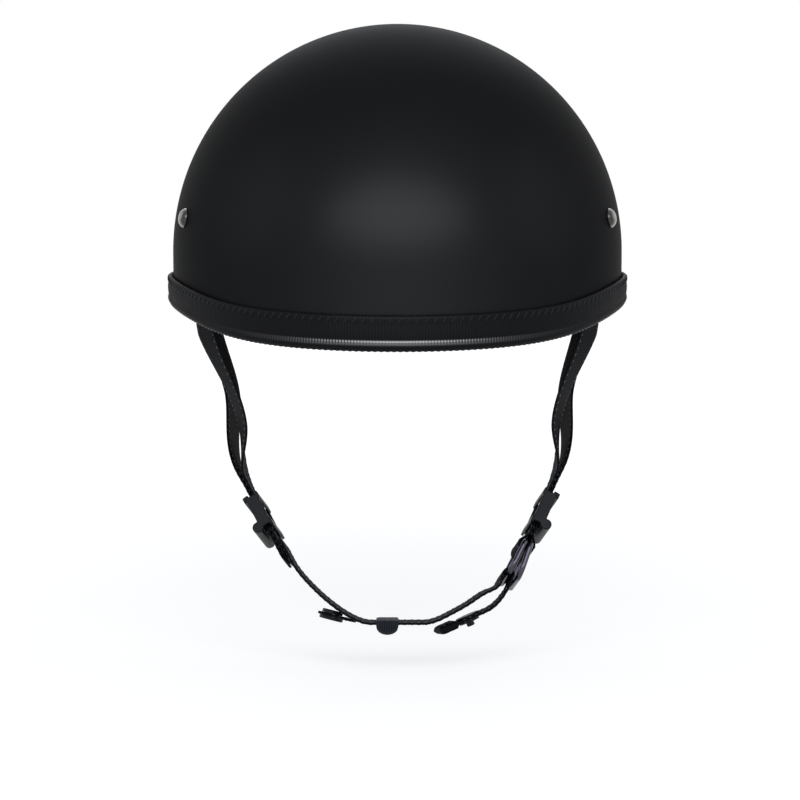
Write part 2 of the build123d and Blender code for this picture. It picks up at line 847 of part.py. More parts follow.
# Snap tab: sewn under the chin strap at the right, its free end leaves the strap
tab_root = worn_place(chin_right_shares[-1])
tab_along = (worn_place(chin_right_shares[-2]) - tab_root).normalized()
tab_across = (sight - tab_along * sight.dot(tab_along)).normalized()
tab_down = tab_along.cross(tab_across)
tab_down = tab_down if tab_down.Z < 0 else tab_down * -1
tab_middle = tab_root + tab_down * (webbing_thick + layer_gap + stud_seat)
tab_heading = tab_along * cos(radians(tab_turn)) + tab_down * sin(radians(tab_turn))
tab_outward = tab_down * cos(radians(tab_turn)) - tab_along * sin(radians(tab_turn))
tab_stud_place = tab_middle + tab_heading * (tab_reach - tab_stud_inset)
with BuildPart() as snap_tab:
    with BuildSketch(Plane(origin=tab_middle, x_dir=tab_across, z_dir=tab_heading)):
        Rectangle(tab_width, webbing_thick)
    extrude(amount=tab_reach)
    with Locations(Plane(origin=tab_stud_place, x_dir=tab_across, z_dir=tab_outward)):
        Cylinder(
            stud_shank_diameter / 2 + washer_play,
            2 * webbing_thick,
            mode=Mode.SUBTRACT,
        )
snap_tab.part.label = "snap_tab"
export_step(snap_tab.part, "parts/snap_tab.step")

# Cap of the press stud, on the tab's outside, with its shank through the webbing
tab_cap_plane = Plane(origin=tab_stud_place, x_dir=tab_across, z_dir=tab_outward)
with BuildPart() as snap_cap:
    with BuildSketch(tab_cap_plane.offset(stud_half)):
        Circle(stud_diameter / 2)
    extrude(amount=cap_rise)
    rim = snap_cap.faces().sort_by(Axis(tab_stud_place, tab_outward))[-1].edges()
    fillet(rim, stud_round)
    with BuildSketch(tab_cap_plane.offset(-stud_half - socket_rise / 2)):
        Circle(stud_shank_diameter / 2)
    extrude(amount=2 * stud_half + socket_rise / 2)
snap_cap.part.label = "snap_cap"
export_step(snap_cap.part, "parts/snap_cap.step")

# Socket of the press stud, on the tab's inside
with BuildPart() as snap_socket:
    with BuildSketch(tab_cap_plane.offset(-stud_half - socket_rise)):
        Circle(socket_diameter / 2)
        Circle(socket_bore / 2, mode=Mode.SUBTRACT)
    extrude(amount=socket_rise)
    rim = snap_socket.faces().sort_by(Axis(tab_stud_place, tab_outward))[0].edges()
    fillet(rim, stud_round)
snap_socket.part.label = "snap_socket"
export_step(snap_socket.part, "parts/snap_socket.step")
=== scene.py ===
from math import copysign, cos, exp, pi, radians, sin, sqrt, tan

import bpy
from bpy.props import FloatProperty, FloatVectorProperty, PointerProperty
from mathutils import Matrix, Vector


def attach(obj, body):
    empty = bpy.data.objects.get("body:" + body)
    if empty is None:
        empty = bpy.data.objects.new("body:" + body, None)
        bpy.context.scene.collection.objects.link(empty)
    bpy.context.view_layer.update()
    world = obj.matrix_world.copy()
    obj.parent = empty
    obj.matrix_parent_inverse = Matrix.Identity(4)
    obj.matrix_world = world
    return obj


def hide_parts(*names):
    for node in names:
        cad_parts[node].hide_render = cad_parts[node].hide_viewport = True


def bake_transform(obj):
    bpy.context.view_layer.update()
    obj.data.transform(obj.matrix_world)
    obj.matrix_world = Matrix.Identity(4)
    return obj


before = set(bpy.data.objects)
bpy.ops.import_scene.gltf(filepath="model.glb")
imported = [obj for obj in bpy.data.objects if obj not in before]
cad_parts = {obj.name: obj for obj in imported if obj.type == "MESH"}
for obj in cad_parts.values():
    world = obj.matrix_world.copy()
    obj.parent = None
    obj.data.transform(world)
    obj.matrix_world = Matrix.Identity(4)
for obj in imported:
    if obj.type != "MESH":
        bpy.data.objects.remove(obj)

bl_info = {
    "name": "Half shell helmet",
    "version": (1, 0, 0),
    "blender": (4, 5, 0),
    "location": "3D View > Sidebar > Helmet",
    "description": "Adds the visible surfaces of a half shell helmet to its packed frame",
    "category": "Object",
}

# All lengths are in metres. The front faces -Y, the wearer's left is +X and up is +Z.
HALF_WIDTH = 0.115
HALF_LENGTH = 0.138
CROWN_HEIGHT = 0.154
EQUATOR_HEIGHT = 0.038
SHELL_WALL = 0.0035
SHELL_EDGE_INSET = 0.0004
SHELL_EDGE_DROP = 0.0001
LAYER_GAP = 0.0003

# The rim seen from the side: place along the helmet and height
RIM_HALVINGS = 24
RIM_SIDE_HEIGHT = 0.0118
RIM_LINE = [
    (-0.1518, 0.0), (-0.10488, 0.002596), (-0.069, 0.007788), (0.0, RIM_SIDE_HEIGHT),
    (0.069, 0.004248), (0.1104, -0.0054), (0.1518, -0.0132),
]

# The trim's section, and its stitches
TRIM_STAND = 0.0025
TRIM_LEG = 0.002
TRIM_HEIGHT = 0.0175
TRIM_INNER_HEIGHT = 0.010
TRIM_ROUND = 0.0022
TRIM_TOP_ROUND = 0.0012
TRIM_INNER_ROUND = 0.0009
TRIM_CLEAR = 0.0002
TRIM_BULGE = 0.0003
TRIM_SIDE_DROP = 0.14
RIBS_BELOW_TOP = 0.0034
RIBS_ABOVE_ROLL = 0.0022
ROLL_RADIUS = 0.0041
ROLL_STAND = 0.0003
TRIM_TOP_FOLD = 0.0006
TRIM_SEAM_STAND = 0.0001
TRIM_SEAM_TOP = 0.0020
TRIM_SEAM_FOOT = 0.0028
TRIM_INNER_FOLD = 0.0012
STITCH_LOW_STAND = 0.0002
STITCH_LOW_DROP = 0.0036
STITCH_HIGH_STAND = 0.0001
STITCH_HIGH_DROP = 0.0007
TOP_STITCH_SLANT = 0.0011
TOP_THREAD_RADIUS = 0.00036
LOWER_STITCH_PITCH = 0.0031
LOWER_STITCH_HALF = 0.00105
UNDER_SIDES = 46.0
UNDER_FRONT = 34.0
LOWER_THREAD_RADIUS = 0.00028

# Padding
PAD_CELL = 0.0024
PAD_SINK = 0.0004
PRESSURE = 4.0
CLOTH_STEPS = 20
BAND_CHANNEL_PLACE = 0.032
CHANNEL_DEPTH = 0.0021
CHANNEL_WIDTH = 0.0022
OUTER_FACE = 0.2

RIVET_HEIGHT = 0.058
FRONT_RIVET_ALONG = -0.048
REAR_RIVET_ALONG = 0.050

# Webbing and its stitches
RUN_ABOVE = 0.016
RIGHT_RUN_BELOW = 0.017
LEFT_RUN_BELOW = 0.014
SEWN_OVERLAP = 0.009
LEG_EXIT_HEIGHT = -0.0002
LEG_EXIT_INSET = 0.004
LEAD = 0.007
LEAD_SPREAD = 0.0003
PATH_STEP = 0.001
SEWN_GAP = 0.0002
WEBBING_WIDTH = 0.024
WEBBING_THICK = 0.0014
WEBBING_END = 0.008
LEAST_SHARE = 0.02
WEBBING_SAG = 0.0006
LAYER_OFFSET = 0.0008
WEBBING_SHARES = (
    -1.0, -0.992, -0.97, -0.92, -0.8, -0.6, -0.35, -0.1, 0.1, 0.35, 0.6, 0.8, 0.92, 0.97, 0.992, 1.0
)
RIBBED_SHARE = 0.96
RIB_LEVEL = 0.35
THREAD_RADIUS = 0.0002
THREAD_SINK = 0.00006
EDGE_STITCH = 0.0017
EDGE_INSET = 0.0024
CROSS_STITCH = 0.0019
CROSS_STITCH_PITCH = 0.0024
CROSS_MARGIN = 0.006
UNSTITCHED = 0.035

# Rings, and the folds round them
RING_WIRE = 0.0028
BAR_OUT = 0.0015
BAR_PLACE = LEFT_RUN_BELOW + 0.0065
LOOP_RADIUS = BAR_OUT + RING_WIRE / 2 + LAYER_GAP + WEBBING_THICK / 2
FAR_PLACE = BAR_PLACE + 0.018
FOLD_RADIUS = 0.00255
FOLD_LEAD = 0.0035
INNER_FAR_OUT = -0.0022

# Tail and chin strap, with places as shares of the chin's depth, reach and depth
TAIL_LENGTH_FLAT = 0.026
TAIL_END_LENGTH = 0.010
TAIL_END_THICK = 0.0042
TAIL_END_ROUND = 0.0021
TAIL_END_RISE = 0.001
TAIL_CLEAR = 0.0001
TAIL_LEAD = 0.0005
TAIL_BARE = 0.004
TAIL_BLEND = (0.0025, 0.0065)
# Seams across, at distances from the start or, where negative, from the end
TAIL_SEAMS = (-0.0035, -0.0068)
CHIN_SEAMS = (0.002, 0.007)
CHIN_DEPTH = 0.1425
CHIN_REACH = 0.070
CHIN_FLAT_HALF = 0.013
CHIN_RIGHT = [(-0.300, -0.870, -0.880), (-0.220, -0.940, -0.945), (-0.150, -0.985, -0.985)]
CHIN_LEFT = [(0.178, -0.985, -0.972), (0.250, -0.940, -0.935), (0.309, -0.892, -0.902)]
TAIL_PLACES = [(0.362, -0.875, -0.925), (0.262, -0.930, -0.985)]
TAIL_END = (0.140, -0.985, -1.035)

KEEPER_MIDDLE = -0.005
KEEPER_LENGTH = 0.011
KEEPER_BULGE = 0.004
KEEPER_OUTER = (0.0133, 0.0020)
KEEPER_INNER = (0.0124, 0.0011)
KEEPER_SQUARENESS = 0.35
KEEPER_RIB_RISE = 0.00016
KEEPER_EDGE = 0.0004
KEEPER_STEP = 0.0011

TAB_WIDTH = 0.019
TAB_REACH = 0.018
TAB_TURN = 17.0
TAB_ROUNDNESS = 2.6
TAB_CLEAR = 0.0001
TAB_BARE = 0.0057
TAB_EDGE_INSET = 0.0018

SLIDER_CELL = 0.00034

STEEL = (0.45, 0.45, 0.46)
ENAMEL = (0.0060, 0.0062, 0.0072)
WORN_BRASS = (0.10, 0.075, 0.045)
WHITE = (1.0, 1.0, 1.0, 1.0)

LEFTWARD = Vector((1, 0, 0))
SIGHT_LIFT = radians(7.0)
SIGHT = Vector((0, cos(SIGHT_LIFT), -sin(SIGHT_LIFT)))
SIGHT_MIDDLE = (0.0013, -0.0390)

# The stage
LAMP_COLOUR = (0.86, 0.92, 1.0)
LAMP_AIM = Vector((0.0, 0.0, 0.03))
# Each lamp's place, width, height and share of the lamp power
LAMPS = {
    "main_lamp": ((0.0, -2.15, 1.27), 4.0, 1.5, 1.0),
    "left_lamp": ((1.9, 0.2, 0.7), 1.6, 1.6, 0.12),
    "right_lamp": ((-1.9, 0.2, 0.7), 1.6, 1.6, 0.12),
    "back_lamp": ((0.0, 1.9, 1.2), 1.6, 1.6, 0.16),
}
FLOOR_HEIGHT = -0.1675
FLOOR_HALF = 1.6
FLOOR_COLOUR = (0.86, 0.86, 0.86, 1.0)
FLOOR_GLOW = 1.25
FLOOR_FADE = (0.2, 1.1)
NEAR_SHARE = 0.55
FAR_GAIN = 0.25


class Curve:
    """A smooth line through places, with even bending from one stretch to the next."""

    def __init__(self, places, first=None, last=None):
        self.places = [Vector(place) for place in places]
        count = len(self.places)
        steps = [two - one for one, two in zip(self.places, self.places[1:])]
        self.spans = [step.length for step in steps]
        rates = [step / span for step, span in zip(steps, self.spans)]
        below, middle, above, right = [0.0], [2.0], [1.0], [3 * rates[0]]
        if first is not None:
            middle, above, right = [1.0], [0.0], [Vector(first).normalized()]
        for i in range(1, count - 1):
            before, after = self.spans[i - 1], self.spans[i]
            below.append(after)
            middle.append(2 * (before + after))
            above.append(before)
            right.append(3 * (after * rates[i - 1] + before * rates[i]))
        if last is None:
            below.append(1.0)
            middle.append(2.0)
            right.append(3 * rates[-1])
        else:
            below.append(0.0)
            middle.append(1.0)
            right.append(Vector(last).normalized())
        above.append(0.0)
        for i in range(1, count):
            share = below[i] / middle[i - 1]
            middle[i] -= share * above[i - 1]
            right[i] = right[i] - share * right[i - 1]
        self.slopes = [right[-1] / middle[-1]]
        for i in range(count - 2, -1, -1):
            self.slopes.insert(0, (right[i] - above[i] * self.slopes[0]) / middle[i])

    def at(self, stretch, share):
        """The place a share of the way along a stretch."""
        span = self.spans[stretch]
        one, two = self.places[stretch], self.places[stretch + 1]
        slope_one, slope_two = self.slopes[stretch] * span, self.slopes[stretch + 1] * span
        cube, square = share**3, share**2
        return (
            one * (2 * cube - 3 * square + 1)
            + slope_one * (cube - 2 * square + share)
            + two * (3 * square - 2 * cube)
            + slope_two * (cube - square)
        )


RIM_CURVE = Curve([(along, height, 0) for along, height in RIM_LINE])


def rim_height(along):
    """The height of the rim line at a place along the helmet."""
    stretch = 0
    while stretch < len(RIM_LINE) - 2 and RIM_LINE[stretch + 1][0] < along:
        stretch += 1
    low, high = 0.0, 1.0
    for halving in range(RIM_HALVINGS):
        middle = (low + high) / 2
        if RIM_CURVE.at(stretch, middle).x < along:
            low = middle
        else:
            high = middle
    return RIM_CURVE.at(stretch, (low + high) / 2).y


def dome_point(side, along, height, grow):
    """A point of the grown shell form at a place along the helmet and a height."""
    lift = max(height - EQUATOR_HEIGHT, 0) / (CROWN_HEIGHT - EQUATOR_HEIGHT + grow)
    drawn = sqrt(max(1 - lift**2, 0))
    half_width = (HALF_WIDTH + grow) * drawn
    half_length = (HALF_LENGTH + grow) * drawn
    return Vector((side * half_width * sqrt(1 - (along / half_length) ** 2), along, height))


def dome_normal(place):
    """The shell's outward direction near a place."""
    upward = max(place.z - EQUATOR_HEIGHT, 0) / (CROWN_HEIGHT - EQUATOR_HEIGHT) ** 2
    return Vector((place.x / HALF_WIDTH**2, place.y / HALF_LENGTH**2, upward)).normalized()


def level_across(side, along):
    """The level direction along the shell's skirt, pointing to the rear."""
    outward = dome_normal(dome_point(side, along, 0, 0))
    return Vector((-outward.y * side, outward.x * side, 0)).normalized()


def turned(side, angle):
    """A direction to the rear, turned outward by an angle in degrees."""
    return Vector((side * sin(radians(angle)), cos(radians(angle)), 0))


class Run:
    """A straight stretch of doubled webbing: heading, across and outward directions."""

    def __init__(self, side, middle, heading):
        self.side = side
        self.middle = Vector(middle)
        self.heading = Vector(heading).normalized()
        self.across = (SIGHT - self.heading * SIGHT.dot(self.heading)).normalized()
        outward = self.heading.cross(self.across)
        self.outward = outward if outward.x * side > 0 else -outward

    def place(self, down, out):
        """A point so far down the run from its middle, and so far outward."""
        return self.middle + self.heading * down + self.outward * out

    def stretch(self, start, stop, out, steps):
        """Even places down the run, each with the run's direction across."""
        return [
            (self.place(start + (stop - start) * step / steps, out), self.across)
            for step in range(steps + 1)
        ]

    def bend(self, middle, out, radius, start, stop, steps=24):
        """An arc in the run's profile plane, its angles from the heading towards outward."""
        path = []
        for step in range(steps + 1):
            angle = radians(start + (stop - start) * step / steps)
            place = self.place(middle + radius * cos(angle), out + radius * sin(angle))
            path.append((place, self.across))
        return path


RIGHT_RUN = Run(-1, (-0.067, -0.042, -0.0942), (0.45, -0.45, -0.77))
LEFT_RUN = Run(1, (0.0716, -0.042, -0.0922), (-0.40, -0.42, -0.81))
FRONT_LEG = {
    "rivet": FRONT_RIVET_ALONG, "exit": -0.050, "knee": (0.50, 0.50, 0.52), "inset": 0.005,
    "exit_turn": 26.0, "knee_turn": 15.0, "layer": -LAYER_OFFSET,
}
REAR_LEG = {
    "rivet": REAR_RIVET_ALONG, "exit": 0.040, "knee": (0.50, 0.52, 0.50), "inset": 0.0010,
    "exit_turn": -13.0, "knee_turn": -7.5, "layer": LAYER_OFFSET,
}


def leg_path(run, leg):
    """Places and directions across of one leg, from above its rivet to the doubled run."""
    side = run.side
    shell_layer = -(SHELL_WALL + LAYER_GAP + WEBBING_SAG + WEBBING_THICK / 2)
    trim_layer = shell_layer - TRIM_LEG - LAYER_GAP
    exit_place = dome_point(side, leg["exit"], LEG_EXIT_HEIGHT, trim_layer - LEG_EXIT_INSET)
    end = run.place(-RUN_ABOVE, leg["layer"])
    span = end - exit_place
    shares = leg["knee"]
    knee = exit_place + Vector(
        (span.x * shares[0] - side * leg["inset"], span.y * shares[1], span.z * shares[2])
    )
    skirt = RIM_SIDE_HEIGHT + TRIM_INNER_HEIGHT
    top = RIVET_HEIGHT + WEBBING_END
    stations = []
    for height, grow in (
        (top, shell_layer),
        (RIVET_HEIGHT, shell_layer),
        ((RIVET_HEIGHT + skirt) / 2, shell_layer - WEBBING_THICK / 2),
        (skirt + WEBBING_THICK, trim_layer),
        (RIM_SIDE_HEIGHT, trim_layer - WEBBING_THICK),
    ):
        along = leg["rivet"] + (leg["exit"] - leg["rivet"]) * (top - height) / top
        stations.append((dome_point(side, along, height, grow), level_across(side, along)))
    stations.append((exit_place, turned(side, leg["exit_turn"])))
    stations.append((knee, turned(side, leg["knee_turn"])))
    spread = LEAD_SPREAD if leg["layer"] > 0 else -LEAD_SPREAD
    stations.append((run.place(-RUN_ABOVE - LEAD, leg["layer"] + spread), run.across))
    stations.append((end, run.across))
    return curved_path(stations, stations[1][0] - stations[0][0], run.heading)


def worn_place(shares):
    """A place on the worn strap, from its shares of the chin's depth, reach and depth."""
    return Vector((shares[0] * CHIN_DEPTH, shares[1] * CHIN_REACH, shares[2] * CHIN_DEPTH))


def curved_path(stations, first, last):
    """Close places and directions across along a smooth line through stations."""
    curve = Curve([place for place, across in stations], first, last)
    path = []
    for stretch in range(len(stations) - 1):
        steps = max(round(curve.spans[stretch] / PATH_STEP), 2)
        for index in range(steps):
            share = index / steps
            across = stations[stretch][1].lerp(stations[stretch + 1][1], share)
            path.append((curve.at(stretch, share), across))
    path.append(stations[-1])
    return path


def straight_path(start, end, across, steps):
    """Even places from one to another, each with a direction across."""
    return [(start.lerp(end, step / steps), across) for step in range(steps + 1)]


def across_and_down(heading):
    """The directions across and down of a strap with a heading."""
    across = (SIGHT - heading * SIGHT.dot(heading)).normalized()
    down = heading.cross(across)
    return across, down if down.z < 0 else -down


def even_places(reach, count):
    """Even distances up to the last of a growing list, each with its stretch and share."""
    places = []
    at = 0
    for index in range(count + 1):
        distance = reach[-1] * index / count
        while at < len(reach) - 2 and reach[at + 1] < distance:
            at += 1
        share = (distance - reach[at]) / max(reach[at + 1] - reach[at], 1e-9)
        places.append((distance, at, share))
    return places


def even_rows(path, spacing):
    """Rows at an even spacing along a path: place, heading, across, facing and distance."""
    reach = [0.0]
    for one, two in zip(path, path[1:]):
        reach.append(reach[-1] + (two[0] - one[0]).length)
    places = even_places(reach, max(round(reach[-1] / spacing), 2))
    rows = []
    for distance, at, share in places:
        one, two = path[at], path[at + 1]
        rows.append((distance, one[0].lerp(two[0], share), one[1].lerp(two[1], share)))
    made = []
    for index, (distance, place, across) in enumerate(rows):
        before, after = rows[max(index - 2, 0)], rows[min(index + 2, len(rows) - 1)]
        heading = (after[1] - before[1]).normalized()
        across = (across - heading * across.dot(heading)).normalized()
        made.append((place, heading, across, heading.cross(across), distance))
    return made


class Form:
    """Points and faces gathered for one mesh, with a finish number for each face."""

    def __init__(self):
        self.points = []
        self.flat = []
        self.faces = []
        self.finishes = []

    def point(self, place, flat=(0.0, 0.0)):
        """Add a point, with its place on the unrolled surface."""
        self.points.append(place)
        self.flat.append(flat)
        return len(self.points) - 1

    def face(self, corners, finish=0):
        """Add a face."""
        self.faces.append(corners)
        self.finishes.append(finish)

    def bridge(self, one, two, finish=0):
        """Join two rings of points of equal number."""
        for index in range(len(one)):
            after = (index + 1) % len(one)
            self.face((one[index], one[after], two[after], two[index]), finish)

    def tube(self, rows, finish=0, capped=False):
        """Join rings of points one after another, and cap both ends where asked."""
        for one, two in zip(rows, rows[1:]):
            self.bridge(one, two, finish)
        if capped:
            self.face(tuple(reversed(rows[0])), finish)
            self.face(tuple(rows[-1]), finish)

    def make(self, name, finishes):
        """Make the object, with smooth faces."""
        mesh = bpy.data.meshes.new(name)
        mesh.from_pydata([tuple(point) for point in self.points], [], self.faces)
        for finish in finishes:
            mesh.materials.append(finish)
        mesh.polygons.foreach_set("material_index", self.finishes)
        mesh.polygons.foreach_set("use_smooth", [True] * len(self.faces))
        unrolled = mesh.uv_layers.new(name="unrolled")
        places = []
        for corner in mesh.loops:
            places.extend(self.flat[corner.vertex_index])
        unrolled.data.foreach_set("uv", places)
        mesh.update()
        piece = bpy.data.objects.new(name, mesh)
        bpy.context.scene.collection.objects.link(piece)
        return piece


def add_thread(form, middle, heading, facing, length, radius, finish=1, sides=6):
    """Add one stitch: a short rounded length of thread that dips at both ends."""
    across = heading.cross(facing).normalized()
    rows = []
    for share, swell, dip in (
        (-0.5, 0.25, -0.9), (-0.42, 0.8, -0.35), (-0.2, 1.0, 0.0),
        (0.2, 1.0, 0.0), (0.42, 0.8, -0.35), (0.5, 0.25, -0.9),
    ):
        centre = middle + heading * (length * share) + facing * (radius * dip)
        row = []
        for side in range(sides):
            angle = 2 * pi * side / sides
            around = across * cos(angle) + facing * sin(angle)
            row.append(form.point(centre + around * (radius * swell)))
        rows.append(row)
    form.tube(rows[::-1], finish, capped=True)


class Wire:
    """A socket of a finish, on which Python's arithmetic adds Math nodes."""

    def __init__(self, finish, socket):
        self.finish = finish
        self.socket = socket

    def output(self, name):
        """Another output of the same node."""
        return Wire(self.finish, self.socket.node.outputs[name])

    def math(self, operation, *values):
        """Add one Math node."""
        sockets = dict(enumerate(values))
        return self.finish.add("ShaderNodeMath", {"operation": operation}, sockets)

    def __add__(self, other):
        return self.math("ADD", self, other)

    def __sub__(self, other):
        return self.math("SUBTRACT", self, other)

    def __rsub__(self, other):
        return self.math("SUBTRACT", other, self)

    def __mul__(self, other):
        return self.math("MULTIPLY", self, other)

    def __pow__(self, other):
        return self.math("POWER", self, other)

    __radd__ = __add__
    __rmul__ = __mul__

    def wave(self, pitch):
        """A wave from 0 to 1 that repeats at a pitch."""
        return self.math("SINE", self * (2 * pi / pitch)) * 0.5 + 0.5

    def share(self, low, high):
        """How far the value lies between two limits, from 0 to 1."""
        limits = {"Value": self, "From Min": low, "From Max": high}
        return self.finish.add("ShaderNodeMapRange", {"clamp": True}, limits)


class Finish:
    """A new material, or the world, and the one method that adds nodes to it."""

    def __init__(self, name, sky=False):
        self.block = (bpy.data.worlds if sky else bpy.data.materials).new(name)
        self.block.use_nodes = True
        self.tree = self.block.node_tree
        self.tree.nodes.clear()
        if not sky:
            self.place = self.add("ShaderNodeTexCoord", output="Object")

    def add(self, kind, settings=None, sockets=None, output=0):
        """Add a node of a kind: its settings first, then its values and links."""
        node = self.tree.nodes.new(kind)
        for name, value in (settings or {}).items():
            setattr(node, name, value)
        for name, value in (sockets or {}).items():
            if isinstance(value, Wire):
                self.tree.links.new(value.socket, node.inputs[name])
            else:
                node.inputs[name].default_value = value
        return Wire(self, node.outputs[output]) if len(node.outputs) else None

    def unrolled(self):
        """The two distances on the unrolled surface, along it and across it."""
        places = self.add("ShaderNodeUVMap", {"uv_map": "unrolled"})
        along = self.add("ShaderNodeSeparateXYZ", None, {0: places}, "X")
        return along, along.output("Y")

    def noise(self, scale, detail=2.0):
        """Soft noise from 0 to 1."""
        sockets = {"Vector": self.place, "Scale": scale, "Detail": detail}
        return self.add("ShaderNodeTexNoise", None, sockets)

    def cells(self, pitch, feature="F1", output="Distance"):
        """Close cells, each about a pitch wide."""
        sockets = {"Vector": self.place, "Scale": 1 / pitch}
        return self.add("ShaderNodeTexVoronoi", {"feature": feature}, sockets, output)

    def mix(self, share, one, two):
        """A colour between two colours."""
        one, two = [colour if isinstance(colour, Wire) else (*colour, 1.0) for colour in (one, two)]
        return self.add("ShaderNodeMix", {"data_type": "RGBA"}, {0: share, 6: one, 7: two}, 2)

    def shade(self, share, colour, low, high):
        """A colour that runs between two strengths of itself."""
        return self.mix(share, scaled(colour, low), scaled(colour, high))

    def facing(self):
        """How squarely the surface faces the eye, from 0 to 1."""
        return 1.0 - self.add("ShaderNodeLayerWeight", None, {"Blend": 0.5}, "Facing")

    def seen(self):
        """1 for rays from the eye, a mirror or glass, and 0 for rays that light the object."""
        seen = rays = self.add("ShaderNodeLightPath", output="Is Camera Ray")
        for name in ("Is Glossy Ray", "Is Transmission Ray"):
            seen = seen.math("MAXIMUM", seen, rays.output(name))
        return seen

    def surface(self, colour, roughness, height, distance, strength, **values):
        """Finish with one shader: colour, roughness, a height's bump and plain values."""
        sockets = {"Height": height, "Distance": distance, "Strength": strength}
        normal = self.add("ShaderNodeBump", None, sockets)
        sockets = {"Base Color": colour, "Roughness": roughness, "Normal": normal}
        sockets.update({name.replace("_", " "): value for name, value in values.items()})
        shader = self.add("ShaderNodeBsdfPrincipled", None, sockets)
        self.add("ShaderNodeOutputMaterial", None, {"Surface": shader})
        return self.block


def scaled(colour, share):
    """A colour made lighter or darker."""
    return tuple(min(value * share, 1.0) for value in colour)


def paint_finish(settings):
    """Matt black paint on a moulded shell."""
    finish = Finish("matt_paint")
    patches = finish.noise(14.0, 3.0)
    tint = finish.shade(patches.share(0.35, 0.7), settings.colour, 0.9, 1.12)
    return finish.surface(
        tint, settings.roughness + 0.05 * patches, finish.noise(2600.0), 0.00002, 0.5,
        Specular_IOR_Level=0.01, Coat_Roughness=settings.haze,
        Coat_Weight=settings.gloss * finish.facing() ** 3.0,
    )


def trim_finish(settings, roll):
    """Dark ribbed hide on the edge trim, polished where it rolls over the edge."""
    finish = Finish("trim_hide")
    along, down = finish.unrolled()
    patches = finish.noise(60.0, 4.0)
    # Painted shade: the hide is darker in the grooves between the ribs and lighter on their crests.
    tint = finish.shade(along.wave(settings.rib_pitch), settings.colour, 0.72, 1.12)
    tint = finish.mix(patches.share(0.55, 0.8) * 0.5, tint, scaled(settings.colour, 1.5))
    band = down.share(roll, roll + 0.0005) * (1 - down.share(roll + 0.0022, roll + 0.0032))
    return finish.surface(
        tint, 0.44 + 0.16 * patches, finish.noise(1800.0, 3.0), 0.00005, 0.6,
        Specular_IOR_Level=0.04, Coat_Roughness=0.18, Coat_IOR=2.1,
        Coat_Weight=(0.03 + 0.97 * band) * finish.facing() ** 10.0,
    )


def thread_finish(name, colour):
    """Twisted thread."""
    finish = Finish(name)
    twist = finish.noise(2500.0, 1.0)
    tint = finish.shade(twist, colour, 0.7, 1.15)
    return finish.surface(tint, 0.65, twist, 0.00006, 0.7, Specular_IOR_Level=0.08)


def webbing_finish(settings):
    """Woven webbing: cross ribs with fine yarns along it."""
    finish = Finish("webbing_weave")
    along, across = finish.unrolled()
    rib = along.wave(settings.rib_pitch)
    yarn = across.wave(0.0011)
    strand = (along + across * 0.5).wave(0.00037)
    fuzz = finish.noise(1500.0)
    height = rib * 0.45 + yarn * 0.3 + strand * 0.15 + fuzz * 0.25
    # Painted shade: the colour follows the weave's height, darker in its hollows and lighter on its
    # raised ribs and yarns.
    tint = finish.shade(height.share(0.25, 0.95), settings.colour, 0.45, 1.45)
    return finish.surface(tint, 0.62 + 0.15 * fuzz, height, 0.0001, 0.7, Specular_IOR_Level=0.03)


def bead_foam_finish(settings):
    """Moulded bead foam: close cells pressed together."""
    finish = Finish("bead_foam")
    colour = settings.foam_colour
    wall = finish.cells(settings.bead_size, "DISTANCE_TO_EDGE").share(0.0, 0.12)
    tone = finish.cells(settings.bead_size, output="Color")
    split = finish.add("ShaderNodeSeparateXYZ", None, {0: tone}, "X")
    # Painted shade: the colour is darker in the grooves between beads; the tone of each bead
    # differs at random.
    tint = finish.mix(wall, scaled(colour, 0.5), finish.shade(split, colour, 0.8, 1.3))
    return finish.surface(tint, 0.55 + 0.2 * split, wall, 0.00025, 0.6, Specular_IOR_Level=0.35)


def knit_finish(settings):
    """Brushed knit cloth over soft foam."""
    finish = Finish("brushed_knit")
    colour = settings.cloth_colour
    loops = finish.cells(settings.knit_pitch).share(0.0, 0.9)
    height = loops * 0.7 + finish.noise(1400.0, 3.0) * 0.4
    patches = finish.noise(35.0, 3.0).share(0.45, 0.75) * 0.35
    # Painted shade: the cloth is darker in the hollows of the loops and lighter on their raised
    # rims; the paler patches are real tone.
    tint = finish.mix(patches, finish.shade(height, colour, 0.6, 1.3), scaled(colour, 1.7))
    return finish.surface(
        tint, 0.85, height, 0.00018, 0.8,
        Sheen_Weight=0.35, Sheen_Roughness=0.5, Specular_IOR_Level=0.25,
    )


def moulded_finish(settings):
    """Satin moulded plastic with a fine spark texture."""
    finish = Finish("moulded_plastic")
    patches = finish.noise(120.0, 3.0)
    tint = finish.shade(patches, settings.slider_colour, 0.85, 1.15)
    return finish.surface(
        tint, 0.36 + 0.12 * patches, finish.noise(1600.0), 0.00003, 0.5, Specular_IOR_Level=0.12
    )


def metal_finish(name, colour, roughness, brushing=0.00001, depth=1.0):
    """Plated metal, finely brushed and uneven, darkened by a share where it faces the eye as a
    painted reflection.
    """
    finish = Finish(name)
    patches = finish.noise(90.0, 3.0)
    tint = finish.shade(patches.share(0.3, 0.8), colour, 0.86, 1.08)
    if depth < 1.0:
        # Painted reflection: the colour goes dark where the surface faces the eye and stays the
        # pale plating at the grazing rim.
        tint = finish.mix(finish.facing().share(0.40, 0.72), tint, scaled(colour, depth))
    return finish.surface(
        tint, roughness + 0.12 * patches, finish.noise(900.0, 3.0), brushing, 0.4, Metallic=1.0
    )


def enamel_finish():
    """Black enamel on brass, a little worn."""
    finish = Finish("black_enamel")
    wear = finish.noise(700.0, 4.0)
    tint = finish.mix(wear.share(0.68, 0.74), ENAMEL, WORN_BRASS)
    return finish.surface(tint, 0.28 + 0.2 * wear, wear, 0.00002, 0.4, Specular_IOR_Level=0.15)


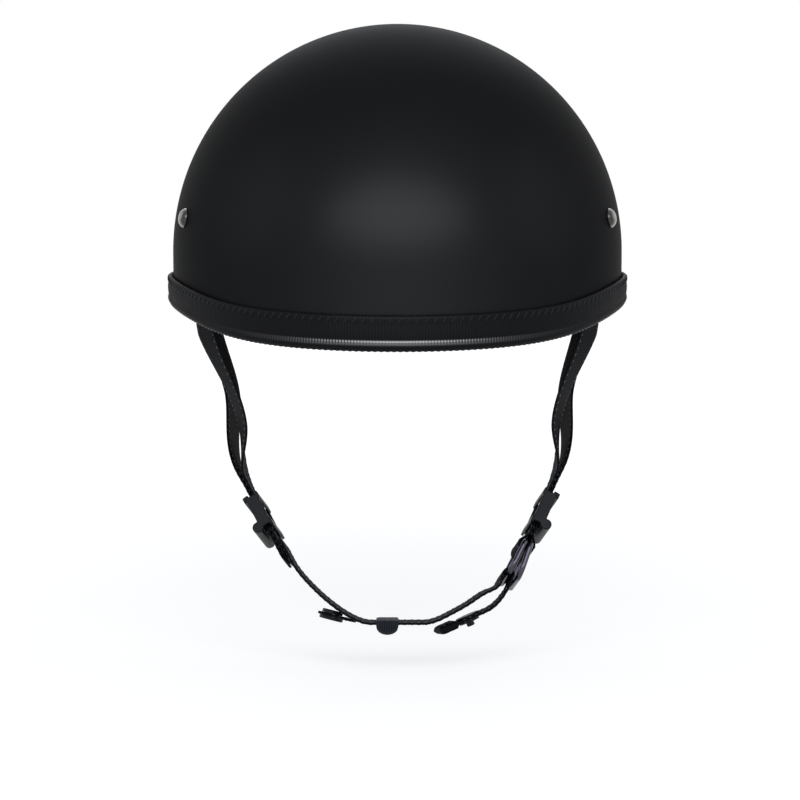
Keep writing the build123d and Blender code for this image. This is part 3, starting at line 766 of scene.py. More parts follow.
def elastic_finish(settings):
    """Ribbed elastic."""
    finish = Finish("ribbed_elastic")
    along, across = finish.unrolled()
    rib = along.wave(settings.elastic_rib)
    height = rib * 0.6 + across.wave(0.0005) * 0.25 + finish.noise(1800.0) * 0.2
    # Painted shade: the elastic is darker between its ribs and lighter on their crests.
    tint = finish.shade(height.share(0.2, 0.9), settings.elastic_colour, 0.45, 1.5)
    return finish.surface(tint, 0.6, height, 0.00012, 0.8, Specular_IOR_Level=0.06)


def dress(mesh, finish):
    """Give a whole mesh one finish."""
    mesh.materials.clear()
    mesh.materials.append(finish)


def settle(piece, body, slot, *nodes):
    """Put a new piece on its body, in the place of CAD nodes; its slot is not used."""
    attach(piece, body)
    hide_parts(*nodes)


def keep_shape(context, piece):
    """Apply the piece's modifiers, with smooth faces."""
    context.view_layer.update()
    view = context.evaluated_depsgraph_get()
    made = bpy.data.meshes.new_from_object(piece.evaluated_get(view))
    piece.modifiers.clear()
    piece.data = made
    made.polygons.foreach_set("use_smooth", [True] * len(made.polygons))


def remeshed(context, node, ending, cell, repeats):
    """A copy of a CAD solid in small even cells, with its edges rounded."""
    piece = bpy.data.objects.new(node + ending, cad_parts[node].data.copy())
    context.scene.collection.objects.link(piece)
    remesh = piece.modifiers.new("remesh", "REMESH")
    remesh.mode = "VOXEL"
    remesh.voxel_size = cell
    smooth = piece.modifiers.new("smooth", "SMOOTH")
    smooth.factor = 0.5
    smooth.iterations = repeats
    keep_shape(context, piece)
    return piece


def colour_setting(name, description, default):
    """A colour."""
    return FloatVectorProperty(
        name=name, description=description, subtype="COLOR", default=default, min=0.0, max=1.0
    )


def length_setting(name, description, default):
    """A length in metres."""
    return FloatProperty(name=name, description=description, unit="LENGTH", default=default)


def share_setting(name, description, default):
    """A value from 0 to 1."""
    return FloatProperty(
        name=name, description=description, subtype="FACTOR", default=default, min=0.0, max=1.0
    )


class HelmetShellSettings(bpy.types.PropertyGroup):
    """Paint of the shell."""

    colour: colour_setting("Paint", "Colour of the matt paint", (0.0031, 0.0033, 0.0039))
    roughness: share_setting("Roughness", "How dull the paint is", 0.5)
    gloss: share_setting("Gloss", "How much the paint reflects", 0.32)
    haze: share_setting("Haze", "How soft the reflections are", 0.38)


class HelmetTrimSettings(bpy.types.PropertyGroup):
    """Edge trim round the rim."""

    colour: colour_setting("Hide", "Colour of the trim", (0.0058, 0.0059, 0.0066))
    rib_pitch: length_setting("Rib pitch", "Distance between ribs", 0.0015)
    rib_rise: length_setting("Rib rise", "Height of a rib", 0.00016)
    stitch_pitch: length_setting("Stitch pitch", "Distance between top stitches", 0.0043)
    top_thread: colour_setting("Top thread", "Colour of top stitches", (0.016, 0.0165, 0.018))
    lower_thread: colour_setting("Lower thread", "Colour of lower stitches", (0.16, 0.16, 0.155))


class HelmetLiningSettings(bpy.types.PropertyGroup):
    """Foam liner and comfort padding."""

    foam_colour: colour_setting("Foam", "Colour of the bead foam", (0.018, 0.018, 0.019))
    bead_size: length_setting("Bead", "Width of a bead of foam", 0.0035)
    cloth_colour: colour_setting("Cloth", "Colour of the padding's cloth", (0.022, 0.022, 0.024))
    knit_pitch: length_setting("Knit", "Distance between loops of the knit", 0.0012)
    swell: length_setting("Swell", "Most that the cloth moves", 0.0022)


class HelmetWebbingSettings(bpy.types.PropertyGroup):
    """Webbing of the harness."""

    colour: colour_setting("Webbing", "Colour of the webbing", (0.0040, 0.0043, 0.0056))
    rib_pitch: length_setting("Rib pitch", "Distance between cross ribs", 0.0015)
    rib_rise: length_setting("Rib rise", "Height of a cross rib", 0.00012)
    stitch_pitch: length_setting("Stitch pitch", "Distance between edge stitches", 0.0034)
    thread_colour: colour_setting("Thread", "Colour of the stitches", (0.16, 0.165, 0.17))


class HelmetFittingSettings(bpy.types.PropertyGroup):
    """Sliders, rings, rivets, keeper and press stud."""

    slider_colour: colour_setting("Slider", "Colour of the sliders", (0.0034, 0.0037, 0.0048))
    ring_colour: colour_setting("Ring", "Colour of the rings' plating", (0.075, 0.070, 0.090))
    rivet_colour: colour_setting("Rivet", "Colour of the rivets' plating", (0.25, 0.245, 0.23))
    elastic_colour: colour_setting("Elastic", "Colour of the keeper band", (0.013, 0.015, 0.020))
    elastic_rib: length_setting("Elastic rib", "Distance between the keeper's ribs", 0.0011)


class HelmetStageSettings(bpy.types.PropertyGroup):
    """Camera, floor and lamps."""

    distance: length_setting("Distance", "From the camera to the helmet's middle", 1.613)
    frame_width: length_setting("Frame", "Width of the view at that distance", 0.4140)
    lift: FloatProperty(
        name="Lift", description="How far the view looks down", subtype="ANGLE",
        default=SIGHT_LIFT,
    )
    lamp_power: FloatProperty(
        name="Lamp", description="Power of the main lamp", unit="POWER", default=54.0
    )
    sky: share_setting("Sky", "Strength of the even light", 0.42)


class HELMET_OT_stage(bpy.types.Operator):
    """Add the camera, floor, even light and soft lamps"""

    bl_idname = "helmet.stage"
    bl_label = "Stage"

    def execute(self, context):
        settings = context.scene.helmet_stage
        self.add_camera(context, settings)
        self.add_floor()
        self.add_sky(context, settings)
        for name in LAMPS:
            self.add_lamp(context, name, settings.lamp_power)
        return {"FINISHED"}

    def add_camera(self, context, settings):
        """Place the camera in front, a little above, at the photograph's angle."""
        lens = bpy.data.cameras.new("camera")
        lens.sensor_fit = "HORIZONTAL"
        lens.sensor_width = 36.0
        lens.lens = lens.sensor_width * settings.distance / settings.frame_width
        lens.clip_start = 0.05
        camera = bpy.data.objects.new("camera", lens)
        lift = settings.lift
        target = Vector((SIGHT_MIDDLE[0], 0.0, SIGHT_MIDDLE[1] / cos(lift)))
        sight = Vector((0.0, cos(lift), -sin(lift)))
        camera.location = target - sight * settings.distance
        camera.rotation_euler = (pi / 2 - lift, 0.0, 0.0)
        context.scene.collection.objects.link(camera)
        context.scene.camera = camera

    def add_floor(self):
        """Add a pale floor that keeps the object's shadow and looks white to the camera."""
        form = Form()
        corners = [
            form.point(Vector((x * FLOOR_HALF, y * FLOOR_HALF, FLOOR_HEIGHT)))
            for x, y in ((-1, -1), (1, -1), (1, 1), (-1, 1))
        ]
        form.face(tuple(corners))
        finish = Finish("pale_floor")
        matt = finish.add("ShaderNodeBsdfDiffuse", None, {"Color": FLOOR_COLOUR})
        white = finish.add("ShaderNodeEmission", None, {"Color": WHITE, "Strength": FLOOR_GLOW})
        places = {0: finish.place, 1: (0.0, 0.0, FLOOR_HEIGHT)}
        away = finish.add("ShaderNodeVectorMath", {"operation": "DISTANCE"}, places, "Value")
        glow = finish.seen() * (away.share(*FLOOR_FADE) * FAR_GAIN + NEAR_SHARE)
        both = finish.add("ShaderNodeMixShader", None, {0: glow, 1: matt, 2: white})
        finish.add("ShaderNodeOutputMaterial", None, {"Surface": both})
        form.make("floor", [finish.block])

    def add_sky(self, context, settings):
        """Light all round, white where it is seen or mirrored."""
        finish = Finish("sky", sky=True)
        strength = finish.seen() * (1.0 - settings.sky) + settings.sky
        light = finish.add("ShaderNodeBackground", None, {"Color": WHITE, "Strength": strength})
        finish.add("ShaderNodeOutputWorld", None, {"Surface": light})
        context.scene.world = finish.block

    def add_lamp(self, context, name, power):
        """Add a soft lamp that faces the helmet."""
        place, width, height, share = LAMPS[name]
        lamp = bpy.data.lights.new(name, "AREA")
        lamp.shape = "ELLIPSE"
        lamp.size = width
        lamp.size_y = height
        lamp.energy = power * share
        lamp.color = LAMP_COLOUR
        holder = bpy.data.objects.new(name, lamp)
        holder.location = place
        aim = LAMP_AIM - Vector(place)
        holder.rotation_euler = aim.to_track_quat("-Z", "Y").to_euler()
        context.scene.collection.objects.link(holder)


class HELMET_OT_shell(bpy.types.Operator):
    """Add the smooth shell in matt paint"""

    bl_idname = "helmet.shell"
    bl_label = "Shell"

    columns = 240
    skirt_rows = 8
    dome_rows = 64

    def execute(self, context):
        form = Form()
        outer = self.skin(form, 0.0)
        inner = self.skin(form, -SHELL_WALL)
        edge = TRIM_LEG + LAYER_GAP - SHELL_EDGE_DROP
        lower = self.ring(form, -SHELL_EDGE_INSET, 0.0, lambda along: rim_height(along) + edge)
        form.tube(inner[::-1] + [lower] + outer)
        for row, grow in ((outer[-1], 0.0), (inner[-1][::-1], -SHELL_WALL)):
            top = form.point(Vector((0, 0, CROWN_HEIGHT + grow)))
            for one, two in zip(row, row[1:] + row[:1]):
                form.face((one, two, top))
        piece = form.make("shell_skin", [paint_finish(context.scene.helmet_shell)])
        settle(piece, "helmet", "shell_plastic", "shell")
        return {"FINISHED"}

    def ring(self, form, grow, climb, height):
        """A ring of points an angle up the dome, its height a function of the place along."""
        row = []
        for index in range(self.columns):
            turn = 2 * pi * index / self.columns
            along = (HALF_LENGTH + grow) * cos(climb) * sin(turn)
            aside = (HALF_WIDTH + grow) * cos(climb) * cos(turn)
            row.append(form.point(Vector((aside, along, height(along)))))
        return row

    def skin(self, form, grow):
        """Rows of points over the dome, from the rim to just under the crown."""
        rows = []
        for step in range(self.skirt_rows):

            def height(along):
                foot = rim_height(along) + TRIM_LEG + LAYER_GAP
                return foot + (EQUATOR_HEIGHT - foot) * step / self.skirt_rows

            rows.append(self.ring(form, grow, 0.0, height))
        rise = CROWN_HEIGHT - EQUATOR_HEIGHT + grow
        for step in range(self.dome_rows):
            climb = pi / 2 * step / self.dome_rows
            level = EQUATOR_HEIGHT + rise * sin(climb)
            rows.append(self.ring(form, grow, climb, lambda along: level))
        return rows


class HELMET_OT_trim(bpy.types.Operator):
    """Add the ribbed edge trim with its stitches"""

    bl_idname = "helmet.trim"
    bl_label = "Edge trim"

    fine_steps = 4000
    rib_steps = 4

    def execute(self, context):
        settings = context.scene.helmet_trim
        self.turns, self.length = self.even_turns(settings)
        form = Form()
        profile, roll = self.profile()
        rows = []
        for index, turn in enumerate(self.turns):
            distance = self.length * index / len(self.turns)
            rib = sin(2 * pi * distance / settings.rib_pitch)
            row = []
            for out, up, ribbed, down in profile:
                grow = out + settings.rib_rise * ribbed * (rib * 0.5 - 0.5)
                row.append(form.point(self.place(turn, grow, up), (distance, down)))
            rows.append(row)
        form.tube(rows + rows[:1])
        self.add_top_stitches(form, settings.stitch_pitch)
        self.add_lower_stitches(form)
        finishes = [
            trim_finish(settings, roll),
            thread_finish("trim_top_thread", settings.top_thread),
            thread_finish("trim_lower_thread", settings.lower_thread),
        ]
        piece = form.make("trim_cover", finishes)
        settle(piece, "helmet", "trim_hide", "edge_trim")
        return {"FINISHED"}

    def even_turns(self, settings):
        """Turns round the rim at even steps, with a whole number of ribs, and its length."""
        reach = [0.0]
        half_width, half_length = HALF_WIDTH + TRIM_STAND, HALF_LENGTH + TRIM_STAND
        for index in range(self.fine_steps):
            turn = 2 * pi * (index + 0.5) / self.fine_steps
            step = sqrt((half_width * sin(turn)) ** 2 + (half_length * cos(turn)) ** 2)
            reach.append(reach[-1] + step * 2 * pi / self.fine_steps)
        ribs = round(reach[-1] / settings.rib_pitch)
        settings.rib_pitch = reach[-1] / ribs
        places = even_places(reach, ribs * self.rib_steps)[:-1]
        turns = [2 * pi * (at + share) / self.fine_steps for distance, at, share in places]
        return turns, reach[-1]

    def place(self, turn, grow, up):
        """A point of the trim, from its turn, its distance out and its height on the rim."""
        along = (HALF_LENGTH + grow) * sin(turn)
        low = 1 - TRIM_SIDE_DROP * cos(turn) ** 4
        return Vector(((HALF_WIDTH + grow) * cos(turn), along, rim_height(along) + up * low))

    def profile(self):
        """The trim's section: distance out, height, how ribbed it is and distance down."""
        corners = []

        def arc(out, up, radius, start, stop, steps, ribbed):
            for index in range(steps + 1):
                angle = radians(start + (stop - start) * index / steps)
                fade = ribbed * min(max(1 + sin(angle) * 1.2, 0.0), 1.0)
                corners.append((out + radius * cos(angle), up + radius * sin(angle), fade))

        inside = -SHELL_WALL - LAYER_GAP - TRIM_LEG
        round_out, round_up = TRIM_STAND - TRIM_TOP_ROUND, TRIM_HEIGHT - TRIM_TOP_ROUND
        ribs_top, ribs_foot = TRIM_HEIGHT - RIBS_BELOW_TOP, ROLL_RADIUS + RIBS_ABOVE_ROLL
        corners.append((TRIM_CLEAR, TRIM_HEIGHT - TRIM_TOP_FOLD, 0.0))
        arc(round_out, round_up, TRIM_TOP_ROUND, 90, 0, 4, 0.0)
        corners.append((TRIM_STAND + TRIM_SEAM_STAND, TRIM_HEIGHT - TRIM_SEAM_TOP, 0.0))
        corners.append((TRIM_STAND + TRIM_SEAM_STAND, TRIM_HEIGHT - TRIM_SEAM_FOOT, 0.2))
        for share in (0.0, 0.25, 0.5, 0.75, 1.0):
            out = TRIM_STAND + TRIM_BULGE * sin(pi * share)
            corners.append((out, ribs_top - (ribs_top - ribs_foot) * share, 1.0))
        roll = len(corners)
        arc(TRIM_STAND + ROLL_STAND - ROLL_RADIUS, ROLL_RADIUS, ROLL_RADIUS, 27, -90, 10, 0.9)
        arc(inside + TRIM_ROUND, TRIM_ROUND, TRIM_ROUND, -90, -180, 4, 0.6)
        corners.append((inside, TRIM_INNER_HEIGHT - TRIM_INNER_FOLD, 0.0))
        round_out, round_up = inside + TRIM_INNER_ROUND, TRIM_INNER_HEIGHT - TRIM_INNER_ROUND
        arc(round_out, round_up, TRIM_INNER_ROUND, 180, 90, 3, 0.0)
        corners.append((-SHELL_WALL - TRIM_CLEAR, TRIM_INNER_HEIGHT, 0.0))
        corners.append((-SHELL_WALL - TRIM_CLEAR, TRIM_LEG, 0.0))
        corners.append((TRIM_CLEAR, TRIM_LEG, 0.0))
        section = []
        down = 0.0
        before = corners[0]
        for out, up, ribbed in corners:
            down += sqrt((out - before[0]) ** 2 + (up - before[1]) ** 2)
            section.append((out, up, ribbed, down))
            before = (out, up)
        return section, section[roll][3]

    def turn_at(self, share):
        """The turn a share of the way round."""
        place = (share % 1.0) * len(self.turns)
        index = int(place)
        after = self.turns[index + 1] if index + 1 < len(self.turns) else 2 * pi
        return self.turns[index] + (after - self.turns[index]) * (place - index)

    def add_stitch(self, form, start, stop, lean, radius, finish):
        """Add one stitch between two points, which faces outward and leans down."""
        middle = (start + stop) / 2
        facing = (dome_normal(middle) - Vector((0, 0, lean))).normalized()
        heading = stop - start
        add_thread(form, middle, heading.normalized(), facing, heading.length, radius, finish)

    def add_top_stitches(self, form, pitch):
        """Slanted whip stitches over the top edge."""
        count = round(self.length / pitch)
        slant = TOP_STITCH_SLANT / self.length
        low_out, low_up = TRIM_STAND + STITCH_LOW_STAND, TRIM_HEIGHT - STITCH_LOW_DROP
        high_out, high_up = TRIM_STAND + STITCH_HIGH_STAND, TRIM_HEIGHT - STITCH_HIGH_DROP
        for index in range(count):
            share = index / count
            low = self.place(self.turn_at(share - slant), low_out, low_up)
            high = self.place(self.turn_at(share + slant), high_out, high_up)
            self.add_stitch(form, low, high, 0.0, TOP_THREAD_RADIUS, 1)

    def add_lower_stitches(self, form):
        """Pale stitches along the lower outer edge, further under it in front."""
        count = round(self.length / LOWER_STITCH_PITCH)
        half = LOWER_STITCH_HALF / self.length
        for index in range(count):
            share = index / count
            front = max(-sin(self.turn_at(share)), 0.0)
            under = radians(UNDER_SIDES + UNDER_FRONT * front**3)
            out = TRIM_STAND + ROLL_STAND - ROLL_RADIUS * (1 - cos(under))
            up = ROLL_RADIUS * (1 - sin(under))
            start = self.place(self.turn_at(share - half), out, up)
            stop = self.place(self.turn_at(share + half), out, up)
            self.add_stitch(form, start, stop, tan(under), LOWER_THREAD_RADIUS, 2)


class HELMET_OT_lining(bpy.types.Operator):
    """Finish the bead foam liner and add the puffed comfort padding"""

    bl_idname = "helmet.lining"
    bl_label = "Lining"

    pads = ("brow_band", "nape_band", "left_side_pad", "right_side_pad", "crown_pad")

    def execute(self, context):
        settings = context.scene.helmet_lining
        dress(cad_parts["impact_liner"].data, bead_foam_finish(settings))
        knit = knit_finish(settings)
        for node in self.pads:
            piece = self.puffed(context, node, settings.swell)
            dress(piece.data, knit)
            settle(piece, "helmet", "pad_cloth", node)
        return {"FINISHED"}

    def puffed(self, context, node, swell):
        """A pad remeshed from its CAD solid and blown up by a cloth simulation."""
        piece = remeshed(context, node, "_cloth", PAD_CELL, repeats=6)
        mesh = piece.data
        normals = [vertex.normal.copy() for vertex in mesh.vertices]
        for vertex, normal in zip(mesh.vertices, normals):
            vertex.co -= normal * PAD_SINK
        rest = [vertex.co.copy() for vertex in mesh.vertices]
        self.blow_up(context, piece)
        for vertex, start, normal in zip(mesh.vertices, rest, normals):
            move = vertex.co - start
            outward = dome_normal(start)
            move -= outward * max(move.dot(outward), 0)
            if move.length > swell:
                move *= swell / move.length
            vertex.co = start + move
        self.sew_channels(node, mesh)
        fine = piece.modifiers.new("fine", "SUBSURF")
        fine.levels = 1
        fine.render_levels = 1
        keep_shape(context, piece)
        return piece

    def blow_up(self, context, piece):
        """Run the cloth under pressure, and keep where its points came to."""
        cloth = piece.modifiers.new("cloth", "CLOTH")
        cloth.settings.use_pressure = True
        cloth.settings.uniform_pressure_force = PRESSURE
        cloth.settings.effector_weights.gravity = 0.0
        cloth.settings.quality = 4
        cloth.settings.mass = 0.3
        cloth.collision_settings.use_collision = False
        cloth.collision_settings.use_self_collision = False
        cloth.point_cache.frame_start = 1
        cloth.point_cache.frame_end = CLOTH_STEPS
        for step in range(1, CLOTH_STEPS + 1):
            context.scene.frame_set(step)
        blown = piece.evaluated_get(context.evaluated_depsgraph_get()).data
        places = [vertex.co.copy() for vertex in blown.vertices]
        piece.modifiers.remove(cloth)
        context.scene.frame_set(1)
        for vertex, place in zip(piece.data.vertices, places):
            vertex.co = place

    def sew_channels(self, node, mesh):
        """Draw the cloth in along sewn channels on the side that faces the head."""
        for vertex in mesh.vertices:
            place = vertex.co
            outward = dome_normal(place)
            if vertex.normal.dot(outward) > OUTER_FACE:
                continue
            if node == "crown_pad":
                gap = min(abs(place.x), abs(place.y))
            elif node.endswith("band"):
                gap = abs(abs(place.x) - BAND_CHANNEL_PLACE)
            else:
                gap = abs(place.y)
            vertex.co = place + outward * CHANNEL_DEPTH * exp(-(gap / CHANNEL_WIDTH) ** 2)


def add_stitches(form, row, out, thick, heading, length):
    """Add a stitch on each face of the webbing, at a distance across it."""
    place, across, facing = row[0], row[2], row[3]
    for face in (1, -1):
        middle = place + across * out + facing * (face * (thick / 2 - THREAD_SINK))
        add_thread(form, middle, heading, facing * face, length, THREAD_RADIUS)


class HELMET_OT_webbing(bpy.types.Operator):
    """Add the harness's webbing with its ribs and stitches"""

    bl_idname = "helmet.webbing"
    bl_label = "Webbing"

    def execute(self, context):
        settings = context.scene.helmet_webbing
        self.settings = settings
        self.finishes = [
            webbing_finish(settings), thread_finish("edge_thread", settings.thread_colour)
        ]
        self.add_right_leg("right_front_leg", FRONT_LEG, "right_front_strap")
        self.add_right_leg("right_rear_leg", REAR_LEG, "right_rear_strap")
        self.add_left_strap()
        self.add_chin_strap()
        self.add_tail()
        self.add_tab()
        return {"FINISHED"}

    def strap(self, name, path, width=WEBBING_WIDTH, shape=None, bare=(0.0, 0.0),
              inset=EDGE_INSET, seams=(), seam_thick=WEBBING_THICK):
        """Make a strap along a path, with bare stretches at its ends and seams across it."""
        rows = even_rows(path, self.settings.rib_pitch / 4)
        form = Form()
        self.lay(form, rows, width, shape)
        length = rows[-1][4]
        spacing = length / (len(rows) - 1)

        def nearest(distance):
            return rows[min(round(distance / spacing), len(rows) - 1)]

        pitch = self.settings.stitch_pitch
        for number in range(int((length - bare[1] - bare[0]) / pitch)):
            row = nearest(bare[0] + (number + 0.5) * pitch)
            for out in (width / 2 - inset, inset - width / 2):
                add_stitches(form, row, out, WEBBING_THICK, row[1], EDGE_STITCH)
        seam = width - CROSS_MARGIN
        count = int(seam / CROSS_STITCH_PITCH)
        for distance in seams:
            row = nearest(distance if distance > 0 else length + distance)
            for number in range(count + 1):
                out = (number / count - 0.5) * seam
                add_stitches(form, row, out, seam_thick, row[2], CROSS_STITCH)
        return form.make(name, self.finishes)

    def lay(self, form, rows, width, shape):
        """Add webbing along rows, with rounded edges and cross ribs."""
        rings = []
        for place, _, across, facing, distance in rows:
            wide, thick = shape(distance, rows[-1][4]) if shape else (1.0, 1.0)
            half_width = width / 2 * wide
            rib = sin(2 * pi * distance / self.settings.rib_pitch)
            ring = []
            for side, shares in ((1, WEBBING_SHARES), (-1, WEBBING_SHARES[-2:0:-1])):
                for share in shares:
                    depth = WEBBING_THICK / 2 * thick * sqrt(1 - share**16)
                    if abs(share) < RIBBED_SHARE:
                        depth += self.settings.rib_rise * (rib * 0.5 - RIB_LEVEL)
                    out = half_width * share
                    spot = place + across * out + facing * (depth * side)
                    ring.append(form.point(spot, (distance, out)))
            rings.append(ring)
        form.tube(rings[::-1], capped=True)

    def add_right_leg(self, name, leg, node):
        """Add one leg, from above its rivet to its sewn lower end."""
        end = RIGHT_RUN_BELOW + SEWN_OVERLAP
        path = leg_path(RIGHT_RUN, leg)
        path += RIGHT_RUN.stretch(-RUN_ABOVE + PATH_STEP, end, leg["layer"], 40)
        piece = self.strap(name, path, bare=(UNSTITCHED, 0.0))
        settle(piece, "helmet", "webbing", node)

    def add_left_strap(self):
        """Add the left webbing: front leg, loop round the rings' bars and rear leg."""
        path = leg_path(LEFT_RUN, FRONT_LEG) + self.doubled(-1)
        path += LEFT_RUN.bend(BAR_PLACE, 0.0, LOOP_RADIUS, -90, 90)
        path += reversed(leg_path(LEFT_RUN, REAR_LEG) + self.doubled(1))
        piece = self.strap("left_webbing", path, bare=(UNSTITCHED, UNSTITCHED))
        settle(piece, "helmet", "webbing", "left_strap")

    def doubled(self, side):
        """One layer of the doubled run, then its way out to the loop round the bars."""
        path = LEFT_RUN.stretch(-RUN_ABOVE + PATH_STEP, LEFT_RUN_BELOW, side * LAYER_OFFSET, 30)
        for step in range(1, 12):
            share = step / 12
            ease = share * share * (3 - 2 * share)
            out = LAYER_OFFSET + (LOOP_RADIUS - LAYER_OFFSET) * ease
            down = LEFT_RUN_BELOW + (BAR_PLACE - LEFT_RUN_BELOW) * share
            path.append((LEFT_RUN.place(down, side * out), LEFT_RUN.across))
        return path

    def add_chin_strap(self):
        """Add the chin strap, from its sewn end to the fold over the inner ring."""
        layer = -LAYER_OFFSET - WEBBING_THICK - SEWN_GAP
        sewn = RIGHT_RUN_BELOW + SEWN_OVERLAP
        fold, fold_out = FAR_PLACE + FOLD_LEAD, INNER_FAR_OUT - FOLD_RADIUS
        right, left = [
            Vector((side * CHIN_FLAT_HALF, -CHIN_REACH, -CHIN_DEPTH)) for side in (-1, 1)
        ]
        path = RIGHT_RUN.stretch(RIGHT_RUN_BELOW, sewn, layer, 8)[:-1]
        places = [RIGHT_RUN.place(sewn, layer), *map(worn_place, CHIN_RIGHT), right]
        path += curved_path([(place, SIGHT) for place in places], RIGHT_RUN.heading, LEFTWARD)
        path += straight_path(right, left, SIGHT, 20)[1:-1]
        places = [left, *map(worn_place, CHIN_LEFT), LEFT_RUN.place(fold, fold_out)]
        path += curved_path([(place, SIGHT) for place in places], LEFTWARD, -LEFT_RUN.heading)
        path += LEFT_RUN.stretch(fold, FAR_PLACE, fold_out, 6)[1:-1]
        path += LEFT_RUN.bend(FAR_PLACE, INNER_FAR_OUT, FOLD_RADIUS, 270, 90)
        piece = self.strap("chin_webbing", path, seams=CHIN_SEAMS)
        settle(piece, "helmet", "webbing", "chin_strap")

    def add_tail(self):
        """Add the free tail, from under the outer ring's far bar to its thick sewn end."""
        out = INNER_FAR_OUT + FOLD_RADIUS
        begin = LEFT_RUN.place(FAR_PLACE + TAIL_CLEAR, out)
        leave = LEFT_RUN.place(FAR_PLACE + FOLD_LEAD + TAIL_LEAD, out)
        end = worn_place(TAIL_END)
        heading = (end - worn_place(TAIL_PLACES[-1])).normalized()
        flat = end - heading * TAIL_LENGTH_FLAT
        stations = [(place, SIGHT) for place in (leave, worn_place(TAIL_PLACES[0]), flat)]
        path = straight_path(begin, leave, LEFT_RUN.across, 6)[:-1]
        path += curved_path(stations, LEFT_RUN.heading, heading)
        path += straight_path(flat, end, SIGHT, 40)[1:]
        piece = self.strap(
            "tail_webbing", path, shape=self.tail_shape, bare=(TAIL_BARE, TAIL_END_LENGTH),
            seams=TAIL_SEAMS, seam_thick=TAIL_END_THICK,
        )
        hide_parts("strap_tail")
        start, stop = [tuple(LEFT_RUN.place(FAR_PLACE + down, out)) for down in TAIL_BLEND]
        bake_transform(piece)
        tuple(start)
        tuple(stop)

    def tail_shape(self, distance, length):
        """The tail's shares of full width and thickness: thick and rounded at its end."""
        left = length - distance
        if left > TAIL_END_LENGTH:
            return 1.0, 1.0
        rise = min((TAIL_END_LENGTH - left) / TAIL_END_RISE, 1.0)
        past = max(TAIL_END_ROUND - left, 0) / TAIL_END_ROUND
        thick = 1 + (TAIL_END_THICK / WEBBING_THICK - 1) * rise
        return 1.0, thick * sqrt(max(1 - past**2, LEAST_SHARE))

    def add_tab(self):
        """Add the snap tab with its round end."""
        root = worn_place(CHIN_RIGHT[-1])
        along = (worn_place(CHIN_RIGHT[-2]) - root).normalized()
        across, down = across_and_down(along)
        middle = root + down * (WEBBING_THICK + LAYER_GAP + TAB_CLEAR)
        turn = radians(TAB_TURN)
        heading = along * cos(turn) + down * sin(turn)
        path = [(middle + heading * (TAB_REACH * step / 40), across) for step in range(41)]
        piece = self.strap(
            "tab_webbing", path, TAB_WIDTH, self.tab_shape, (0.0, TAB_BARE), TAB_EDGE_INSET
        )
        settle(piece, "tab_body", "webbing", "snap_tab")

    def tab_shape(self, distance, length):
        """The tab's shares of full width and thickness: narrow at its round end."""
        radius = TAB_WIDTH / 2
        past = max(distance - (TAB_REACH - radius), 0.0) / radius
        wide = sqrt(1 - past**TAB_ROUNDNESS) if past < 1 else LEAST_SHARE
        return wide, 1.0


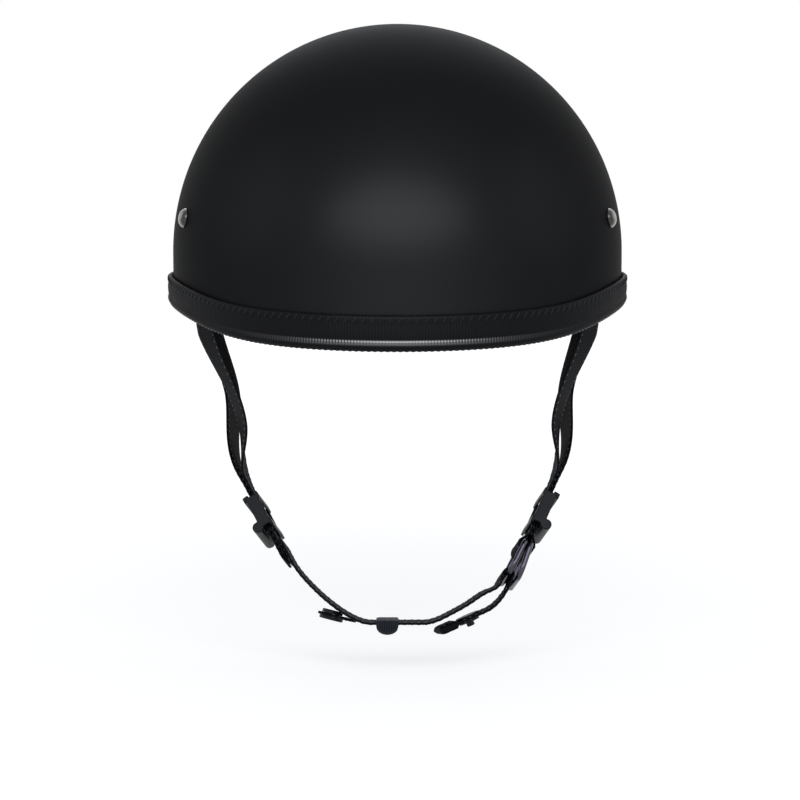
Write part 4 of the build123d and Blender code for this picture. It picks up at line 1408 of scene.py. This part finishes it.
class HELMET_OT_fittings(bpy.types.Operator):
    """Add the sliders and keeper band, and finish the rings, rivets and press stud"""

    bl_idname = "helmet.fittings"
    bl_label = "Fittings"

    keeper_columns = 60
    keeper_around = 56

    def execute(self, context):
        settings = context.scene.helmet_fittings
        rings = metal_finish("dark_plate", settings.ring_colour, roughness=0.24)
        # The rivets get a painted reflection: dark where they face the eye, pale plating at their
        # rim.
        painted_reflection_plate = metal_finish(
            "rivet_plate_painted_reflection", settings.rivet_colour, roughness=0.13, brushing=0.000005, depth=0.22
        )
        steel = metal_finish("plain_steel", STEEL, roughness=0.35)
        for finish, nodes in (
            (rings, ("inner_ring", "outer_ring")),
            (painted_reflection_plate, ("rivets",)),
            (steel, ("rivet_washers",)),
            (enamel_finish(), ("snap_cap", "snap_socket", "snap_stud", "snap_post")),
        ):
            for node in nodes:
                dress(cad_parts[node].data, finish)
        plastic = moulded_finish(settings)
        for node in ("right_slider", "left_slider"):
            piece = remeshed(context, node, "_moulding", SLIDER_CELL, repeats=3)
            dress(piece.data, plastic)
            settle(piece, node + "_body", "slider_plastic", node)
        self.add_keeper(settings)
        return {"FINISHED"}

    def add_keeper(self, settings):
        """Add the ribbed keeper band with its half moon grip."""
        across, down = across_and_down(LEFTWARD)
        middle = Vector((KEEPER_MIDDLE, -CHIN_REACH, -CHIN_DEPTH))
        form = Form()
        outer, inner = [], []
        for column in range(self.keeper_columns + 1):
            place = KEEPER_LENGTH * (column / self.keeper_columns - 0.5)
            end = abs(2 * place / KEEPER_LENGTH)
            bulge = KEEPER_BULGE * sqrt(max(1 - end**2, 0.0))
            rib = sin(2 * pi * place / settings.elastic_rib) * 0.5 - 0.5
            grow = KEEPER_RIB_RISE * rib - KEEPER_EDGE * end**12
            centre = middle + LEFTWARD * place
            for rows, (half_width, half_depth), extra in (
                (outer, [half + grow for half in KEEPER_OUTER], bulge),
                (inner, KEEPER_INNER, 0.0),
            ):
                row = []
                for step in range(self.keeper_around):
                    angle = 2 * pi * step / self.keeper_around
                    wide = copysign(abs(cos(angle)) ** KEEPER_SQUARENESS, cos(angle))
                    deep = copysign(abs(sin(angle)) ** KEEPER_SQUARENESS, sin(angle))
                    reach = half_depth + (extra * (1 - wide**6) if deep > 0 else 0.0)
                    spot = centre + across * (wide * half_width) + down * (deep * reach)
                    row.append(form.point(spot, (place, step * KEEPER_STEP)))
                rows.append(row)
        form.tube(inner + outer[::-1] + inner[:1])
        piece = form.make("keeper_elastic", [elastic_finish(settings)])
        settle(piece, "keeper_body", "keeper_elastic", "keeper_band")


class HELMET_PT_panel(bpy.types.Panel):
    """Lists the helmet's pieces"""

    bl_idname = "HELMET_PT_panel"
    bl_label = "Helmet"
    bl_space_type = "VIEW_3D"
    bl_region_type = "UI"
    bl_category = "Helmet"

    def draw(self, context):
        for operator in OPERATORS:
            self.layout.operator(operator.bl_idname)
        for name in SETTINGS:
            box = self.layout.box()
            group = getattr(context.scene, name)
            for key in group.__annotations__:
                box.prop(group, key)


SETTINGS = {
    "helmet_stage": HelmetStageSettings,
    "helmet_shell": HelmetShellSettings,
    "helmet_trim": HelmetTrimSettings,
    "helmet_lining": HelmetLiningSettings,
    "helmet_webbing": HelmetWebbingSettings,
    "helmet_fittings": HelmetFittingSettings,
}
OPERATORS = (
    HELMET_OT_stage,
    HELMET_OT_shell,
    HELMET_OT_trim,
    HELMET_OT_lining,
    HELMET_OT_webbing,
    HELMET_OT_fittings,
)


def register():
    """Register the settings, operators and panel."""
    for name, group in SETTINGS.items():
        bpy.utils.register_class(group)
        setattr(bpy.types.Scene, name, PointerProperty(type=group))
    for operator in OPERATORS:
        bpy.utils.register_class(operator)
    bpy.utils.register_class(HELMET_PT_panel)


def unregister():
    """Take the settings, operators and panel away."""
    bpy.utils.unregister_class(HELMET_PT_panel)
    for operator in reversed(OPERATORS):
        bpy.utils.unregister_class(operator)
    for name, group in SETTINGS.items():
        delattr(bpy.types.Scene, name)
        bpy.utils.unregister_class(group)


def main():
    """Make every piece."""
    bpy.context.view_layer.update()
    register()
    bpy.context.scene.view_settings.view_transform = "Standard"
    bpy.ops.helmet.stage()
    bpy.ops.helmet.shell()
    bpy.ops.helmet.trim()
    bpy.ops.helmet.lining()
    bpy.ops.helmet.webbing()
    bpy.ops.helmet.fittings()


if __name__ == "__main__":
    main()
